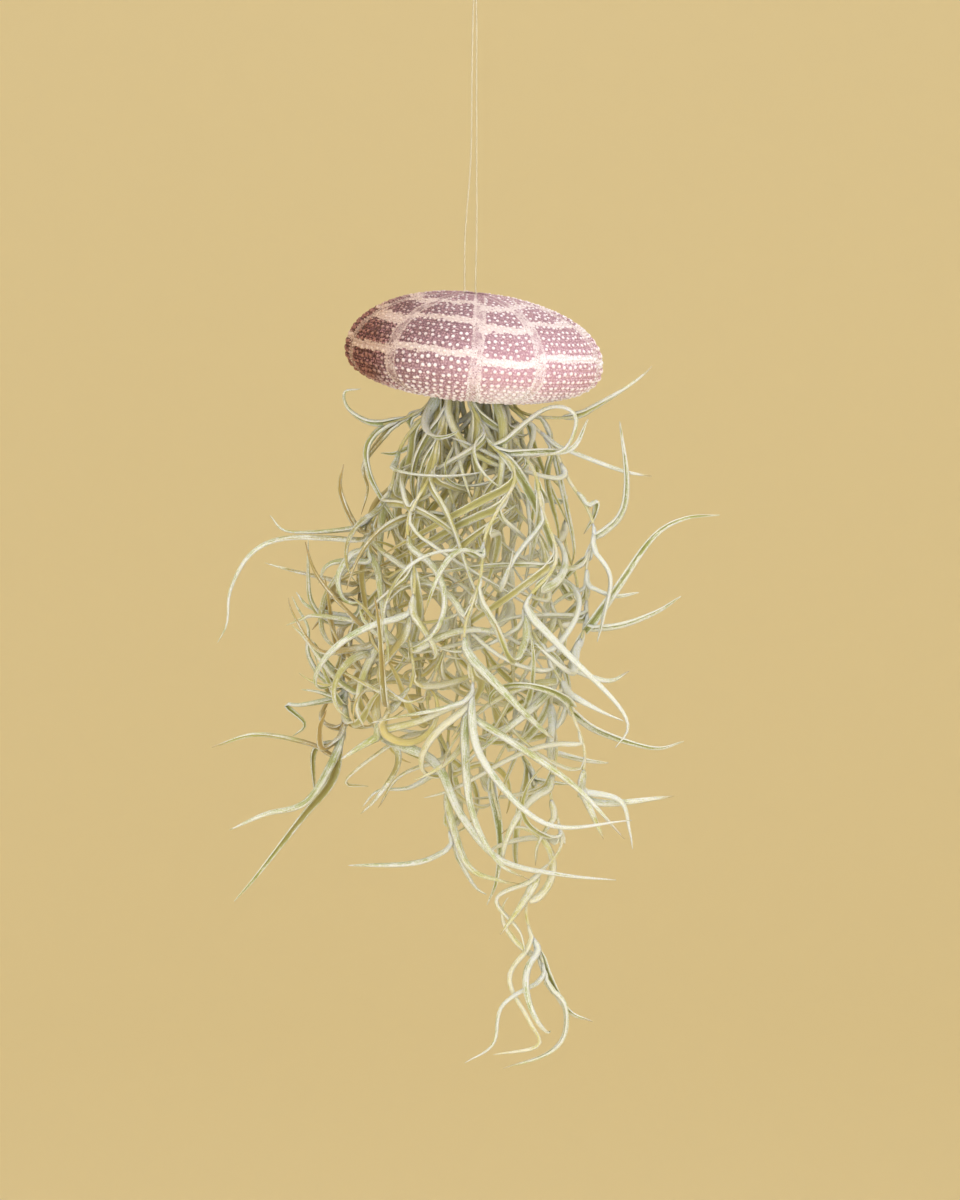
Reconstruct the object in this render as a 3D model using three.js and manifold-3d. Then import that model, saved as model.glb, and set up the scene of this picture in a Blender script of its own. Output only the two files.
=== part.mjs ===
// A spanish moss air plant hanging from an upturned sea urchin shell.
// A doubled clear line goes up from the shell's top hole to a knot and a loop, and the moss is
// tucked into the shell's mouth, so that the whole looks like a jellyfish.
// Millimetres, +Z up, +X to the right, +Y to the back. The origin is where the loop bears on a hook.

import * as THREE from 'three';
import { mergeVertices } from 'three/addons/utils/BufferGeometryUtils.js';
import Module from 'manifold-3d';

const wasm = await Module();
wasm.setup();

// Shell
const shellHalfWidth = 39.5;
const shellRise = 19.5;
const shellDrop = 12.9;
const shellWall = 1.8;
const shellCentre = new THREE.Vector3(-0.3, 1.4, -136);
const shellTiltRight = THREE.MathUtils.degToRad(5.4);
const shellTiltForward = THREE.MathUtils.degToRad(4.8);
const topHoleRadius = 3.4;
const topHoleX = -2;
const topHoleReach = 6;
const mouthRadius = 15.5;
const shellColumns = 72;
const shellOuterRows = 17;
const shellInnerRows = 5;
const upperFullness = 0.95;
const lowerFullness = 0.84;
const lobeCount = 5;
const lobeDepth = 0.012;
const lobeTurn = THREE.MathUtils.degToRad(-72);
const tubercleRaise = 0.8;

// Line, knot and toggle
const lineRadius = 0.25;
const lineSides = 8;
const lineSteps = 56;
const strandHalfGap = 0.4;
const knotTop = -17;
const knotHeight = 4.5;
const knotBoreRadius = 1;
const knotRadius = 1.7;
const knotTurns = 3;
const knotGroove = 0.3;
const knotSides = 10;
const toggleRadius = 1.05;
const toggleLength = 11;
const toggleSides = 12;
const tieBoreRadius = 1.35;
const tieRadius = 1.8;
const tieWidth = 1.6;
const tieRounding = 0.2;
const strandSpread = 1.7;
const togglePlace = new THREE.Vector3(-2.7, 0, 15.9);

// Moss
const mossCentre = new THREE.Vector3(-0.3, 1.4, -135);
const stemRadius = 1;
const stemTipRadius = 0.75;
const stemSides = 3;
const stemStep = 2;
const stemSegment = 14;
const stemTurn = 0.45;
const windTop = -22;
const windEase = 20;
const windReach = 1.8;
const windLength = 34;
const windOffset = 1.7;
const leafHalfWidth = 1.25;
const leafEdgeRise = 0.45;
const leafKeel = 0.62;
const leafSamples = 24;
const shortLeafSegments = 6;
const longLeafSegments = 8;
const longLeaf = 54;
const leafLeastHalf = 0.3;
const joinTolerance = 0.25;
const nodeRoom = 5;
const nodeSpacing = 1;
const firstLeafShare = 0.12;
const strandGap = 0.85;
const leafGap = 0.25;
const rootShift = 0.25;
const tangleTop = -17;
const tangleDepthShare = 0.86;
const freeReach = 24;
const freeEvery = 3;

// How a leaf is tried until it has room: lengths in mm, turns in radians along the whole leaf.
const drawnLeaf = { tries: 80, leastSpread: 0.1, moreSpread: 0.75, bow: 0.4 };
const fillingLeaf = {
  tries: 120,
  nodeTurn: Math.PI + 0.7,
  around: 0.6,
  moreAround: 0.05,
  slant: [0.9, 2.4],
  lean: Math.PI,
  length: [34, 58],
  firstTurn: [0.8, 3],
  lastTurn: [1.2, 4.6],
  backTurnChance: 0.3,
  backTurn: -0.6,
  twist: 1.2,
};

// The tangle's outline from the front: height, middle and half width at that height.
const tangle = [
  [-12, 0, 13],
  [-20, 0, 17],
  [-30, 0, 24],
  [-45, -3, 30],
  [-64, -6, 41],
  [-89, -10, 46],
  [-114, -12, 43],
  [-132, -4, 32],
  [-148, 7, 20],
  [-163, 16, 11],
  [-222, 16, 10],
];

// Each strand is one leafy stem. The stem's points are x, y, z from the moss's centre.
// A leaf's points are x, z as seen from the front, from its node to its tip, and its depth
// is found by the code. Filling is the number of further leaves, two at a node.
const strands = [
  {
    name: 'strand_front',
    stem: [[-1, -19, -9.4], [-1, -12, -9], [-1, -10, -15], [5, -17, -27], [11, -22, -35],
      [8, -30, -49], [1, -33, -64], [-1, -33, -83], [-2, -29, -101], [-2, -24, -112]],
    leaves: [
      [[-2, -112], [-1, -138], [7, -155], [17, -161]],
      [[-2, -112], [11, -118], [31, -132], [46, -148]],
      [[-1, -106], [3, -124], [22, -143], [48, -142]],
      [[9, -28], [20, -30], [30, -29], [35, -20]],
      [[9, -28], [22, -17], [31, -19], [28, -29], [17, -32]],
    ],
    filling: 12,
  },
  {
    name: 'strand_front_right',
    stem: [[12, -15, -10.8], [8, -9, -9.7], [7, -8, -15], [14, -14, -30], [22, -20, -45],
      [23, -26, -64], [17, -27, -78], [22, -21, -95], [30, -16, -104], [32, -12, -120], [34, -8, -137]],
    leaves: [
      [[17, -78], [28, -91], [43, -106], [47, -114], [43, -120]],
      [[30, -104], [39, -110], [46, -113]],
      [[34, -136], [45, -138], [48, -147], [49, -153]],
      [[34, -137], [42, -139], [62, -137]],
      [[34, -137], [40, -150]],
    ],
    filling: 12,
  },
  {
    name: 'strand_right',
    stem: [[19, -3, -11], [12, -2, -9.9], [10, -2, -15], [19, -2, -23], [28, -3, -34],
      [34, -4, -49], [36, -4, -60], [36, -4, -73], [32, -6, -86], [30, -6, -97]],
    leaves: [
      [[36, -58], [45, -50], [47, -39], [45, -21]],
      [[34, -49], [38, -46], [37, -51], [34, -56]],
      [[32, -86], [43, -74], [55, -57], [65, -51], [76, -50]],
      [[32, -86], [45, -84], [56, -80], [64, -75]],
      [[30, -97], [41, -101], [48, -98]],
      [[36, -60], [42, -69], [40, -81], [38, -89]],
      [[34, -72], [43, -75], [51, -74]],
      [[24, -28], [45, -36], [55, -38]],
    ],
    filling: 10,
  },
  {
    name: 'strand_back_right',
    stem: [[15, 12, -9.6], [10, 8, -8.8], [8.5, 6.5, -15], [17, 12, -30], [27, 20, -45],
      [31, 26, -64], [30, 28, -83], [27, 22, -101], [24, 12, -124]],
    leaves: [
      [[24, -124], [34, -127], [42, -128]],
      [[27, -110], [38, -118], [56, -124], [66, -122]],
    ],
    filling: 11,
  },
  {
    name: 'strand_back',
    stem: [[4, 19, -7.9], [3, 12, -7.6], [3, 10.5, -15], [7, 20, -30], [10, 30, -49], [8, 35, -70],
      [10, 33, -92], [11, 26, -111], [14, 18, -126], [18, 12, -135]],
    leaves: [
      [[17, -134], [31, -135]],
      [[18, -135], [16, -142]],
    ],
    filling: 11,
  },
  {
    name: 'strand_back_left',
    stem: [[-6, 18, -7.2], [-5, 12, -6.9], [-5, 10, -15], [-9, 20, -30], [-14, 30, -49],
      [-15, 35, -70], [-17, 32, -92], [-15, 24, -114], [-9, 16, -131]],
    leaves: [
      [[-10, -130], [-20, -136], [-30, -137], [-35, -142]],
    ],
    filling: 11,
  },
  {
    name: 'strand_left_back',
    stem: [[-17, 9, -6.7], [-11, 6, -6.8], [-10, 5, -15], [-18, 10, -30], [-28, 18, -45],
      [-34, 22, -64], [-38, 22, -83], [-40, 16, -101], [-42, 12, -111], [-41, 8, -127]],
    leaves: [
      [[-41, -127], [-51, -122], [-68, -119], [-82, -123]],
      [[-41, -127], [-45, -134], [-54, -145], [-68, -163], [-75, -171]],
      [[-41, -126], [-52, -139], [-65, -143], [-76, -148]],
      [[-41, -122], [-50, -124], [-50, -138]],
      [[-42, -107], [-54, -110], [-59, -110], [-53, -116], [-57, -120]],
      [[-36, -73], [-46, -71], [-59, -68], [-66, -66]],
      [[-38, -83], [-51, -80], [-56, -75]],
      [[-42, -107], [-48, -101], [-52, -94], [-52, -86], [-55, -80], [-57, -76]],
      [[-42, -108], [-48, -106], [-54, -105]],
      [[-41, -125], [-47, -123], [-48, -117], [-46, -111]],
      [[-38, -85], [-46, -84], [-51, -78], [-52, -70], [-52, -58]],
      [[-38, -79], [-44, -77], [-48, -83], [-51, -87]],
      [[-41, -104], [-46, -106], [-43, -99], [-41, -92]],
    ],
    filling: 5,
  },
  {
    name: 'strand_left',
    stem: [[-20, -3, -7.4], [-13, -2, -7.8], [-12, -2, -15], [-20, -3, -25], [-25, -5, -36],
      [-30, -8, -49], [-31, -10, -58], [-29, -12, -73], [-27, -13, -86], [-32, -10, -98],
      [-37, -6, -106]],
    leaves: [
      [[-31, -58], [-43, -57], [-59, -57], [-69, -62], [-75, -73], [-76, -83], [-79, -89]],
      [[-30, -52], [-38, -54], [-57, -55], [-63, -50]],
      [[-31, -57], [-37, -52], [-41, -42], [-40, -34]],
      [[-31, -59], [-38, -62], [-42, -69], [-40, -76], [-34, -77]],
      [[-28, -86], [-34, -84], [-43, -75], [-49, -67], [-52, -58]],
      [[-28, -84], [-48, -81], [-53, -82], [-58, -84]],
      [[-37, -104], [-43, -100], [-52, -88], [-56, -84]],
      [[-28, -88], [-34, -99], [-36, -109], [-34, -115]],
      [[-27, -86], [-19, -79], [-17, -74]],
      [[-28, -87], [-38, -91], [-46, -92], [-51, -88], [-56, -79], [-57, -75]],
      [[-30, -64], [-41, -64], [-46, -66], [-48, -71]],
    ],
    filling: 4,
  },
  {
    name: 'strand_front_left',
    stem: [[-13, -14, -8.6], [-8.5, -9, -8.4], [-8, -8, -15], [-12, -15, -30], [-17, -22, -45],
      [-20, -28, -64], [-18, -30, -83], [-21, -24, -101], [-28, -16, -116], [-24, -12, -121]],
    leaves: [
      [[-28, -116], [-17, -113], [-3, -108], [7, -109]],
      [[-28, -116], [-35, -121], [-41, -125]],
      [[-24, -121], [-24, -128], [-30, -137], [-35, -142]],
      [[-24, -121], [-12, -126], [-4, -142], [8, -156], [27, -161], [44, -163]],
      [[-20, -84], [-29, -98], [-21, -106], [-14, -104]],
    ],
    filling: 11,
  },
  {
    name: 'strand_tail',
    stem: [[3, -12, -6.6], [1.5, -6, -6], [1, -4, -15], [5, -6, -30], [14, -8, -49], [23, -8, -67],
      [26, -6, -86], [26, -3, -104], [24, -2, -120], [24, -2, -132], [27, -2, -143], [26, -3, -152],
      [20, -4, -161], [18, -3, -171], [18, -2, -183], [22, -2, -196]],
    leaves: [
      [[22, -196], [28, -202], [28, -212], [22, -218], [9, -222]],
      [[22, -196], [9, -202], [6, -214], [-3, -220]],
      [[20, -191], [29, -204], [37, -208]],
      [[18, -183], [11, -194], [17, -207], [20, -215], [6, -218]],
      [[19, -163], [7, -169], [14, -179], [16, -186]],
      [[18, -168], [11, -176], [8, -180]],
      [[24, -144], [20, -152], [19, -159]],
    ],
    filling: 10,
  },
  {
    name: 'strand_middle_right',
    stem: [[14, 1, -7.3], [6, 0.5, -6.1], [4.5, 0, -15], [8, 2, -30], [13, 4, -52], [10, 2, -76],
      [14, 0, -101], [8, 2, -126], [7, 0, -145]],
    leaves: [
      [[7, -135], [8, -151], [7, -165], [4, -173]],
    ],
    filling: 9,
  },
  {
    name: 'strand_middle_back',
    stem: [[0, 13, -2.9], [0, 6, -2.9], [0, 4.5, -15], [-1, 9, -33], [-6, 12, -58], [-3, 14, -83],
      [-7, 10, -107], [-6, 8, -126]],
    leaves: [
      [[-6, -126], [-23, -132], [-30, -142]],
    ],
    filling: 8,
  },
  {
    name: 'strand_middle_left',
    stem: [[-15, 4, -2.5], [-7, 3, -2.8], [-5.5, 2.5, -15], [-11, 4, -36], [-18, 2, -58], [-23, 4, -76],
      [-18, 4, -98], [-11, 0, -120], [-7, -4, -139], [-7, -4, -155]],
    leaves: [
      [[-7, -139], [-2, -158], [8, -163], [14, -164]],
      [[-7, -154], [-18, -158], [-39, -159]],
      [[-7, -155], [0, -165], [4, -168]],
      [[-12, -118], [-23, -120], [-40, -133], [-33, -135]],
    ],
    filling: 9,
  },
  {
    name: 'strand_middle_front',
    stem: [[-5, -14, -3.9], [-5.5, -7, -3.9], [-5, -3.5, -15], [-6, -6, -33], [-7, -12, -55],
      [-9, -16, -76], [-11, -12, -95], [-14, -8, -114]],
    leaves: [
      [[-6, -31], [-23, -52]],
    ],
    filling: 9,
  },
  {
    name: 'strand_top_right',
    stem: [[20, 4, -9.5], [15, 3, -8.4], [12, 2.5, -10.3], [11.7, 2.5, -13], [13.5, 2.5, -17.5],
      [19, 2, -19.5], [27, 0.5, -20], [32, -0.5, -19.5]],
    leaves: [
      [[32, -19], [45, -12], [52, -7], [55, -4]],
      [[23, -18], [28, -45], [31, -60], [30, -67]],
    ],
    filling: 0,
  },
  {
    name: 'strand_top_left',
    stem: [[-21, 2, -7.3], [-16, 1.5, -6.5], [-13.4, 1, -8.6], [-12.8, 1, -13], [-15.5, 0, -17],
      [-20, -1, -19.5], [-24, -2, -21], [-28, -3, -22]],
    leaves: [
      [[-26, -21], [-33, -21], [-39, -17], [-40, -12], [-35, -11]],
      [[-28, -22], [-33, -29], [-32, -38], [-26, -49], [-23, -53]],
      [[-26, -21], [-34, -34], [-33, -42], [-35, -50]],
      [[-20, -19], [-18, -27], [-24, -31], [-29, -31]],
    ],
    filling: 0,
  },
];

const colours = {
  shell: '#a8708a',
  line: '#e8ebe6',
  toggle: '#c9a26b',
  moss: '#aab394',
};

function material(colour, roughness) {
  return new THREE.MeshStandardMaterial({ color: colour, roughness, metalness: 0 });
}

function piece(name, geometry, finish) {
  const mesh = new THREE.Mesh(geometry, finish);
  mesh.name = name;
  return mesh;
}

function geometryOf(points, index) {
  return new THREE.BufferGeometry().setFromPoints(points).setIndex(index);
}

// A point of the shell's wall. Latitude runs from 90 at the top to -90 at the mouth's middle.
function shellPoint(latitude, longitude, inset) {
  const upper = latitude > 0;
  const fullness = upper ? upperFullness : lowerFullness;
  const height = (upper ? shellRise : shellDrop) - inset;
  const lobes = 1 + lobeDepth * Math.cos(lobeCount * (longitude - lobeTurn)) * Math.cos(latitude);
  const radius = (shellHalfWidth - inset) * Math.cos(latitude) ** fullness * lobes;
  const z = Math.sign(latitude) * height * Math.abs(Math.sin(latitude)) ** fullness;
  const holeShift = topHoleX * Math.max(0, Math.sin(latitude)) ** topHoleReach;
  return new THREE.Vector3(radius * Math.sin(longitude) + holeShift, -radius * Math.cos(longitude), z);
}

// The wall is a grid of rows round the shell: down its outside from the top hole to the mouth, and
// back up its inside. On the outside every other point is raised, as a tubercle.
function shellGeometry() {
  const topLatitude = Math.acos((topHoleRadius / shellHalfWidth) ** (1 / upperFullness));
  const mouthLatitude = -Math.acos((mouthRadius / shellHalfWidth) ** (1 / lowerFullness));
  const points = [];
  const rows = shellOuterRows + shellInnerRows;
  for (let row = 0; row < rows; row += 1) {
    const outside = row < shellOuterRows;
    const share = outside
      ? row / (shellOuterRows - 1)
      : 1 - (row - shellOuterRows) / (shellInnerRows - 1);
    const latitude = THREE.MathUtils.lerp(topLatitude, mouthLatitude, share);
    const rim = share === 0 || share === 1;
    for (let column = 0; column < shellColumns; column += 1) {
      const longitude = (column / shellColumns) * 2 * Math.PI;
      const point = shellPoint(latitude, longitude, outside ? 0 : shellWall);
      if (outside && !rim && (row + column) % 2 === 0) {
        const away = new THREE.Vector3(point.x, point.y, point.z * (shellHalfWidth / shellRise) ** 2);
        point.addScaledVector(away.normalize(), tubercleRaise);
      }
      points.push(point);
    }
  }
  const index = [];
  for (let row = 0; row < rows; row += 1) {
    const next = (row + 1) % rows;
    for (let column = 0; column < shellColumns; column += 1) {
      const beside = (column + 1) % shellColumns;
      const a = row * shellColumns + column;
      const b = row * shellColumns + beside;
      const c = next * shellColumns + beside;
      const d = next * shellColumns + column;
      index.push(a, c, b, a, d, c);
    }
  }
  return geometryOf(points, index);
}

function roundSection(radius, sides) {
  const shape = new THREE.Shape();
  for (let side = 0; side < sides; side += 1) {
    const turn = (side / sides) * 2 * Math.PI;
    const x = radius * Math.cos(turn);
    const y = radius * Math.sin(turn);
    if (side === 0) {
      shape.moveTo(x, y);
    } else {
      shape.lineTo(x, y);
    }
  }
  shape.closePath();
  return shape;
}

// The line's route: from its tie on the toggle up the left strand, through the knot, round the
// loop, and down the right strand to the tie.
function lineRoute() {
  const { x, y, z } = toggleCentre();
  const start = z + tieRadius;
  const bottom = knotTop - knotHeight;
  const left = [
    [x - strandSpread, y, start], [x - strandSpread, y, start + 6], [x - 1.6, y * 0.85, -100],
    [-1.3, y * 0.6, -75], [-0.95, y * 0.35, -52], [-0.7, y * 0.15, -35], [-strandHalfGap, 0, bottom - 3],
    [-strandHalfGap, 0, bottom], [-strandHalfGap, 0, knotTop], [-0.7, 0, knotTop + 2],
    [-2.7, 0, knotTop + 6], [-3.9, 0, -6], [-3.1, 0, -1.9],
  ];
  const right = [
    [3.1, 0, -1.9], [3.9, 0, -6], [2.7, 0, knotTop + 6], [0.7, 0, knotTop + 2],
    [strandHalfGap, 0, knotTop], [strandHalfGap, 0, bottom], [strandHalfGap, 0, bottom - 3],
    [0.5, y * 0.15, -35], [0.5, y * 0.35, -52], [0.5, y * 0.6, -75], [0.5, y * 0.85, -100],
    [x + strandSpread, y, start + 6], [x + strandSpread, y, start],
  ];
  return [...left, [0, 0, lineRadius], ...right].map((p) => new THREE.Vector3(...p));
}

// What the shell's tilt does to a point given in the shell's own frame.
function shellToWorld(point) {
  return point.clone()
    .applyAxisAngle(new THREE.Vector3(0, 1, 0), shellTiltRight)
    .applyAxisAngle(new THREE.Vector3(1, 0, 0), shellTiltForward)
    .add(shellCentre);
}

function toggleCentre() {
  return shellToWorld(togglePlace);
}

// The turns of line that tie it on the toggle.
function tieGeometry() {
  const profile = [
    [tieBoreRadius, -tieWidth / 2], [tieRadius - tieRounding, -tieWidth / 2], [tieRadius, -tieWidth / 4],
    [tieRadius, tieWidth / 4], [tieRadius - tieRounding, tieWidth / 2], [tieBoreRadius, tieWidth / 2],
    [tieBoreRadius, -tieWidth / 2],
  ];
  return new THREE.LatheGeometry(profile.map((p) => new THREE.Vector2(...p)), toggleSides);
}

// The knot is a stack of rounded turns about the two strands.
function knotGeometry() {
  const bottom = knotTop - knotHeight;
  const turnHeight = knotHeight / knotTurns;
  const profile = [new THREE.Vector2(knotBoreRadius, bottom)];
  for (let turn = 0; turn < knotTurns; turn += 1) {
    const low = bottom + turn * turnHeight;
    profile.push(new THREE.Vector2(knotRadius - knotGroove, low));
    profile.push(new THREE.Vector2(knotRadius, low + turnHeight / 2));
  }
  profile.push(new THREE.Vector2(knotRadius - knotGroove, knotTop));
  profile.push(new THREE.Vector2(knotBoreRadius, knotTop));
  profile.push(profile[0].clone());
  const geometry = new THREE.LatheGeometry(profile, knotSides);
  geometry.rotateX(Math.PI / 2);
  return geometry;
}

// Numbers from 0 to 1 that are alike each time for one seed.
function draws(seed) {
  const modulus = 2147483647;
  const multiplier = 16807;
  let state = (seed * 7919 + 12345) % modulus;
  const next = () => {
    state = (state * multiplier) % modulus;
    return state / modulus;
  };
  next();
  next();
  return next;
}

// Points at even distances along a run of points.
function evenly(points, steps) {
  const along = [0];
  for (let i = 1; i < points.length; i += 1) {
    along.push(along[i - 1] + points[i].distanceTo(points[i - 1]));
  }
  const total = along[along.length - 1];
  const even = [];
  let span = 1;
  for (let step = 0; step <= steps; step += 1) {
    const target = (total * step) / steps;
    while (span < points.length - 1 && along[span] < target) {
      span += 1;
    }
    const share = (target - along[span - 1]) / (along[span] - along[span - 1]);
    even.push(points[span - 1].clone().lerp(points[span], share));
  }
  return even;
}

function smooth(corners, steps) {
  const curve = new THREE.CatmullRomCurve3(corners, false, 'catmullrom', 0.5);
  return evenly(curve.getPoints(16 * (corners.length - 1)), steps);
}

function runLength(points) {
  let total = 0;
  for (let i = 1; i < points.length; i += 1) {
    total += points[i].distanceTo(points[i - 1]);
  }
  return total;
}

function directionAt(points, i) {
  const before = points[Math.max(i - 1, 0)];
  const after = points[Math.min(i + 1, points.length - 1)];
  return after.clone().sub(before).normalize();
}

// The points of a run that it needs: fewer where it is straight.
function thinned(points) {
  const kept = [points[0]];
  let last = 0;
  for (let i = 1; i < points.length - 1; i += 1) {
    const turned = directionAt(points, i).angleTo(directionAt(points, last));
    if (turned > stemTurn || (i - last) * stemStep >= stemSegment) {
      kept.push(points[i]);
      last = i;
    }
  }
  return [...kept, points[points.length - 1]];
}

function leafHalfAt(share) {
  return leafHalfWidth * Math.sqrt(Math.max(1 - share, 0));
}

// What is already grown, kept in cells of space so that a new leaf can be tested against it.
const cellSize = 4;
const grown = new Map();

function cellKey(i, j, k) {
  return `${i},${j},${k}`;
}

function remember(point, radius, strand) {
  const i = Math.floor(point.x / cellSize);
  const j = Math.floor(point.y / cellSize);
  const k = Math.floor(point.z / cellSize);
  const entry = { point, radius, strand };
  for (let di = -1; di <= 1; di += 1) {
    for (let dj = -1; dj <= 1; dj += 1) {
      for (let dk = -1; dk <= 1; dk += 1) {
        const key = cellKey(i + di, j + dj, k + dk);
        if (!grown.has(key)) {
          grown.set(key, []);
        }
        grown.get(key).push(entry);
      }
    }
  }
}

// The least room that a leaf would have, less the gap that it needs. Below 0 it is in the way.
function roomFor(points, strand, enough) {
  const root = points[0];
  let room = Infinity;
  for (let i = 1; i < points.length; i += 1) {
    const point = points[i];
    const radius = leafHalfAt(i / (points.length - 1));
    const nearRoot = point.distanceTo(root) < nodeRoom;
    const i0 = Math.floor(point.x / cellSize);
    const j0 = Math.floor(point.y / cellSize);
    const k0 = Math.floor(point.z / cellSize);
    for (const other of grown.get(cellKey(i0, j0, k0)) ?? []) {
      const own = other.strand === strand;
      if (!(own && nearRoot)) {
        const gap = own ? leafGap : strandGap;
        room = Math.min(room, point.distanceTo(other.point) - radius - other.radius - gap);
        if (room < enough) {
          return room;
        }
      }
    }
  }
  return room;
}

function tangleAt(z) {
  let row = 1;
  while (row < tangle.length - 1 && tangle[row][0] > z) {
    row += 1;
  }
  const [z0, middle0, half0] = tangle[row - 1];
  const [z1, middle1, half1] = tangle[row];
  const share = Math.min(Math.max((z0 - z) / (z0 - z1), 0), 1);
  return { middle: middle0 + (middle1 - middle0) * share, half: half0 + (half1 - half0) * share };
}

function insideTangle(points, reach) {
  return points.every((point) => {
    const { middle, half } = tangleAt(point.z);
    const across = (point.x - middle) / half;
    const deep = point.y / (tangleDepthShare * half + reach);
    return point.z < tangleTop && across * across + deep * deep < 1;
  });
}

// A leaf that grows from its root by turning a little at each step.
function grownLeaf(root, heading, turnAxis, length, firstTurn, lastTurn, twist) {
  const points = [root.clone()];
  const direction = heading.clone();
  const axis = turnAxis.clone();
  for (let step = 0; step < leafSamples; step += 1) {
    const share = (step + 0.5) / leafSamples;
    const turn = (firstTurn * (1 - share) + lastTurn * share) / leafSamples;
    direction.applyAxisAngle(axis, turn).normalize();
    axis.applyAxisAngle(direction, twist / leafSamples).normalize();
    points.push(points[step].clone().addScaledVector(direction, length / leafSamples));
  }
  return points;
}

function keepLeaf(strand, number, points) {
  points.forEach((point, i) => {
    if (i > 0) {
      remember(point, leafHalfAt(i / (points.length - 1)), number);
    }
  });
  strand.grownLeaves.push(points);
}

// The stem's point that is nearest by the given measure, and clear of the leaves that it has.
function freeNode(strand, measure) {
  let best = 0;
  strand.line.forEach((point, i) => {
    const free = strand.nodes.every((node) => Math.abs(node - i) >= nodeSpacing);
    if (free && measure(point) < measure(strand.line[best])) {
      best = i;
    }
  });
  strand.nodes.push(best);
  return strand.line[best];
}

// A leaf drawn from the front keeps its outline, and leans and bows in depth until it has room.
function addDrawnLeaf(strand, number, outline, seed) {
  const random = draws(seed);
  const { tries, leastSpread, moreSpread, bow: bowShare } = drawnLeaf;
  const root = freeNode(strand, (point) => Math.hypot(point.x - outline[0][0], point.z - outline[0][1]));
  const corners = [root, ...outline.slice(1).map(([x, z]) => new THREE.Vector3(x, root.y, z))];
  const flat = smooth(corners, leafSamples);
  const length = runLength(flat);
  let best = null;
  let bestRoom = -Infinity;
  for (let attempt = 0; attempt < tries && bestRoom < 0; attempt += 1) {
    const spread = leastSpread + (moreSpread * attempt) / tries;
    const lean = (random() * 2 - 1) * spread * length;
    const bow = (random() * 2 - 1) * spread * length * bowShare;
    const points = flat.map((point, i) => {
      const share = i / leafSamples;
      const depth = point.y + lean * share + bow * 4 * share * (1 - share);
      return new THREE.Vector3(point.x, depth, point.z);
    });
    const room = roomFor(points, number, bestRoom);
    if (room > bestRoom) {
      bestRoom = room;
      best = points;
    }
  }
  keepLeaf(strand, number, best);
}

// A number between the two given ones.
function within([low, high], random) {
  return low + (high - low) * random();
}

// A leaf of the filling: it leaves its node at a slant, curls, and is drawn anew until it has room.
function addFillingLeaf(strand, number, order, seed) {
  const random = draws(seed);
  const place = firstLeafShare + ((1 - firstLeafShare) * (order + 0.5)) / strand.filling;
  const wanted = Math.round(place * (strand.line.length - 1));
  const root = freeNode(strand, (point) => point.distanceTo(strand.line[wanted]));
  const sample = strand.nodes[strand.nodes.length - 1];
  const along = directionAt(strand.line, sample);
  const side = new THREE.Vector3(1, 0, 0).cross(along).normalize();
  for (let attempt = 0; attempt < fillingLeaf.tries; attempt += 1) {
    const stray = fillingLeaf.around + attempt * fillingLeaf.moreAround;
    const around = order * fillingLeaf.nodeTurn + (random() * 2 - 1) * stray;
    const outward = side.clone().applyAxisAngle(along, around);
    const slant = within(fillingLeaf.slant, random);
    const heading = along.clone().multiplyScalar(Math.cos(slant));
    heading.addScaledVector(outward, Math.sin(slant));
    const lean = (random() * 2 - 1) * fillingLeaf.lean;
    const turnAxis = along.clone().cross(outward).applyAxisAngle(heading, lean);
    const length = within(fillingLeaf.length, random);
    const firstTurn = within(fillingLeaf.firstTurn, random);
    const turnsBack = random() < fillingLeaf.backTurnChance;
    const lastTurn = turnsBack ? fillingLeaf.backTurn * firstTurn : within(fillingLeaf.lastTurn, random);
    const twist = (random() * 2 - 1) * fillingLeaf.twist;
    const points = grownLeaf(root, heading, turnAxis, length, firstTurn, lastTurn, twist);
    const reach = order % freeEvery === 0 ? freeReach : 0;
    if (insideTangle(points.slice(3), reach) && roomFor(points, number, 0) >= 0) {
      keepLeaf(strand, number, points);
      return;
    }
  }
}

// A stem's run through its points, which winds a little once it is clear of the shell.
function stemLine(strand, number) {
  const corners = strand.stem.map((p) => new THREE.Vector3(...p));
  const steps = Math.round(runLength(corners) / stemStep);
  return smooth(corners, steps).map((point, i) => {
    const ease = Math.min(Math.max((windTop - point.z) / windEase, 0), 1);
    const turn = (i * stemStep * 2 * Math.PI) / windLength + number * windOffset;
    const wind = windReach * ease;
    return new THREE.Vector3(point.x + wind * Math.sin(turn), point.y + wind * Math.cos(turn), point.z);
  });
}

// The stems come first, then the drawn leaves, and then the filling in the room that is left.
function growMoss() {
  const strandSeed = 1000;
  const fillingSeed = 100;
  strands.forEach((strand, number) => {
    strand.line = stemLine(strand, number);
    strand.grownLeaves = [];
    strand.nodes = [];
    strand.line.forEach((point) => remember(point, stemRadius, number));
  });
  strands.forEach((strand, number) => {
    strand.leaves.forEach((outline, order) => {
      addDrawnLeaf(strand, number, outline, strandSeed * (number + 1) + order);
    });
  });
  strands.forEach((strand, number) => {
    for (let order = 0; order < strand.filling; order += 1) {
      addFillingLeaf(strand, number, order, strandSeed * (number + 1) + fillingSeed + order);
    }
  });
}

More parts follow.
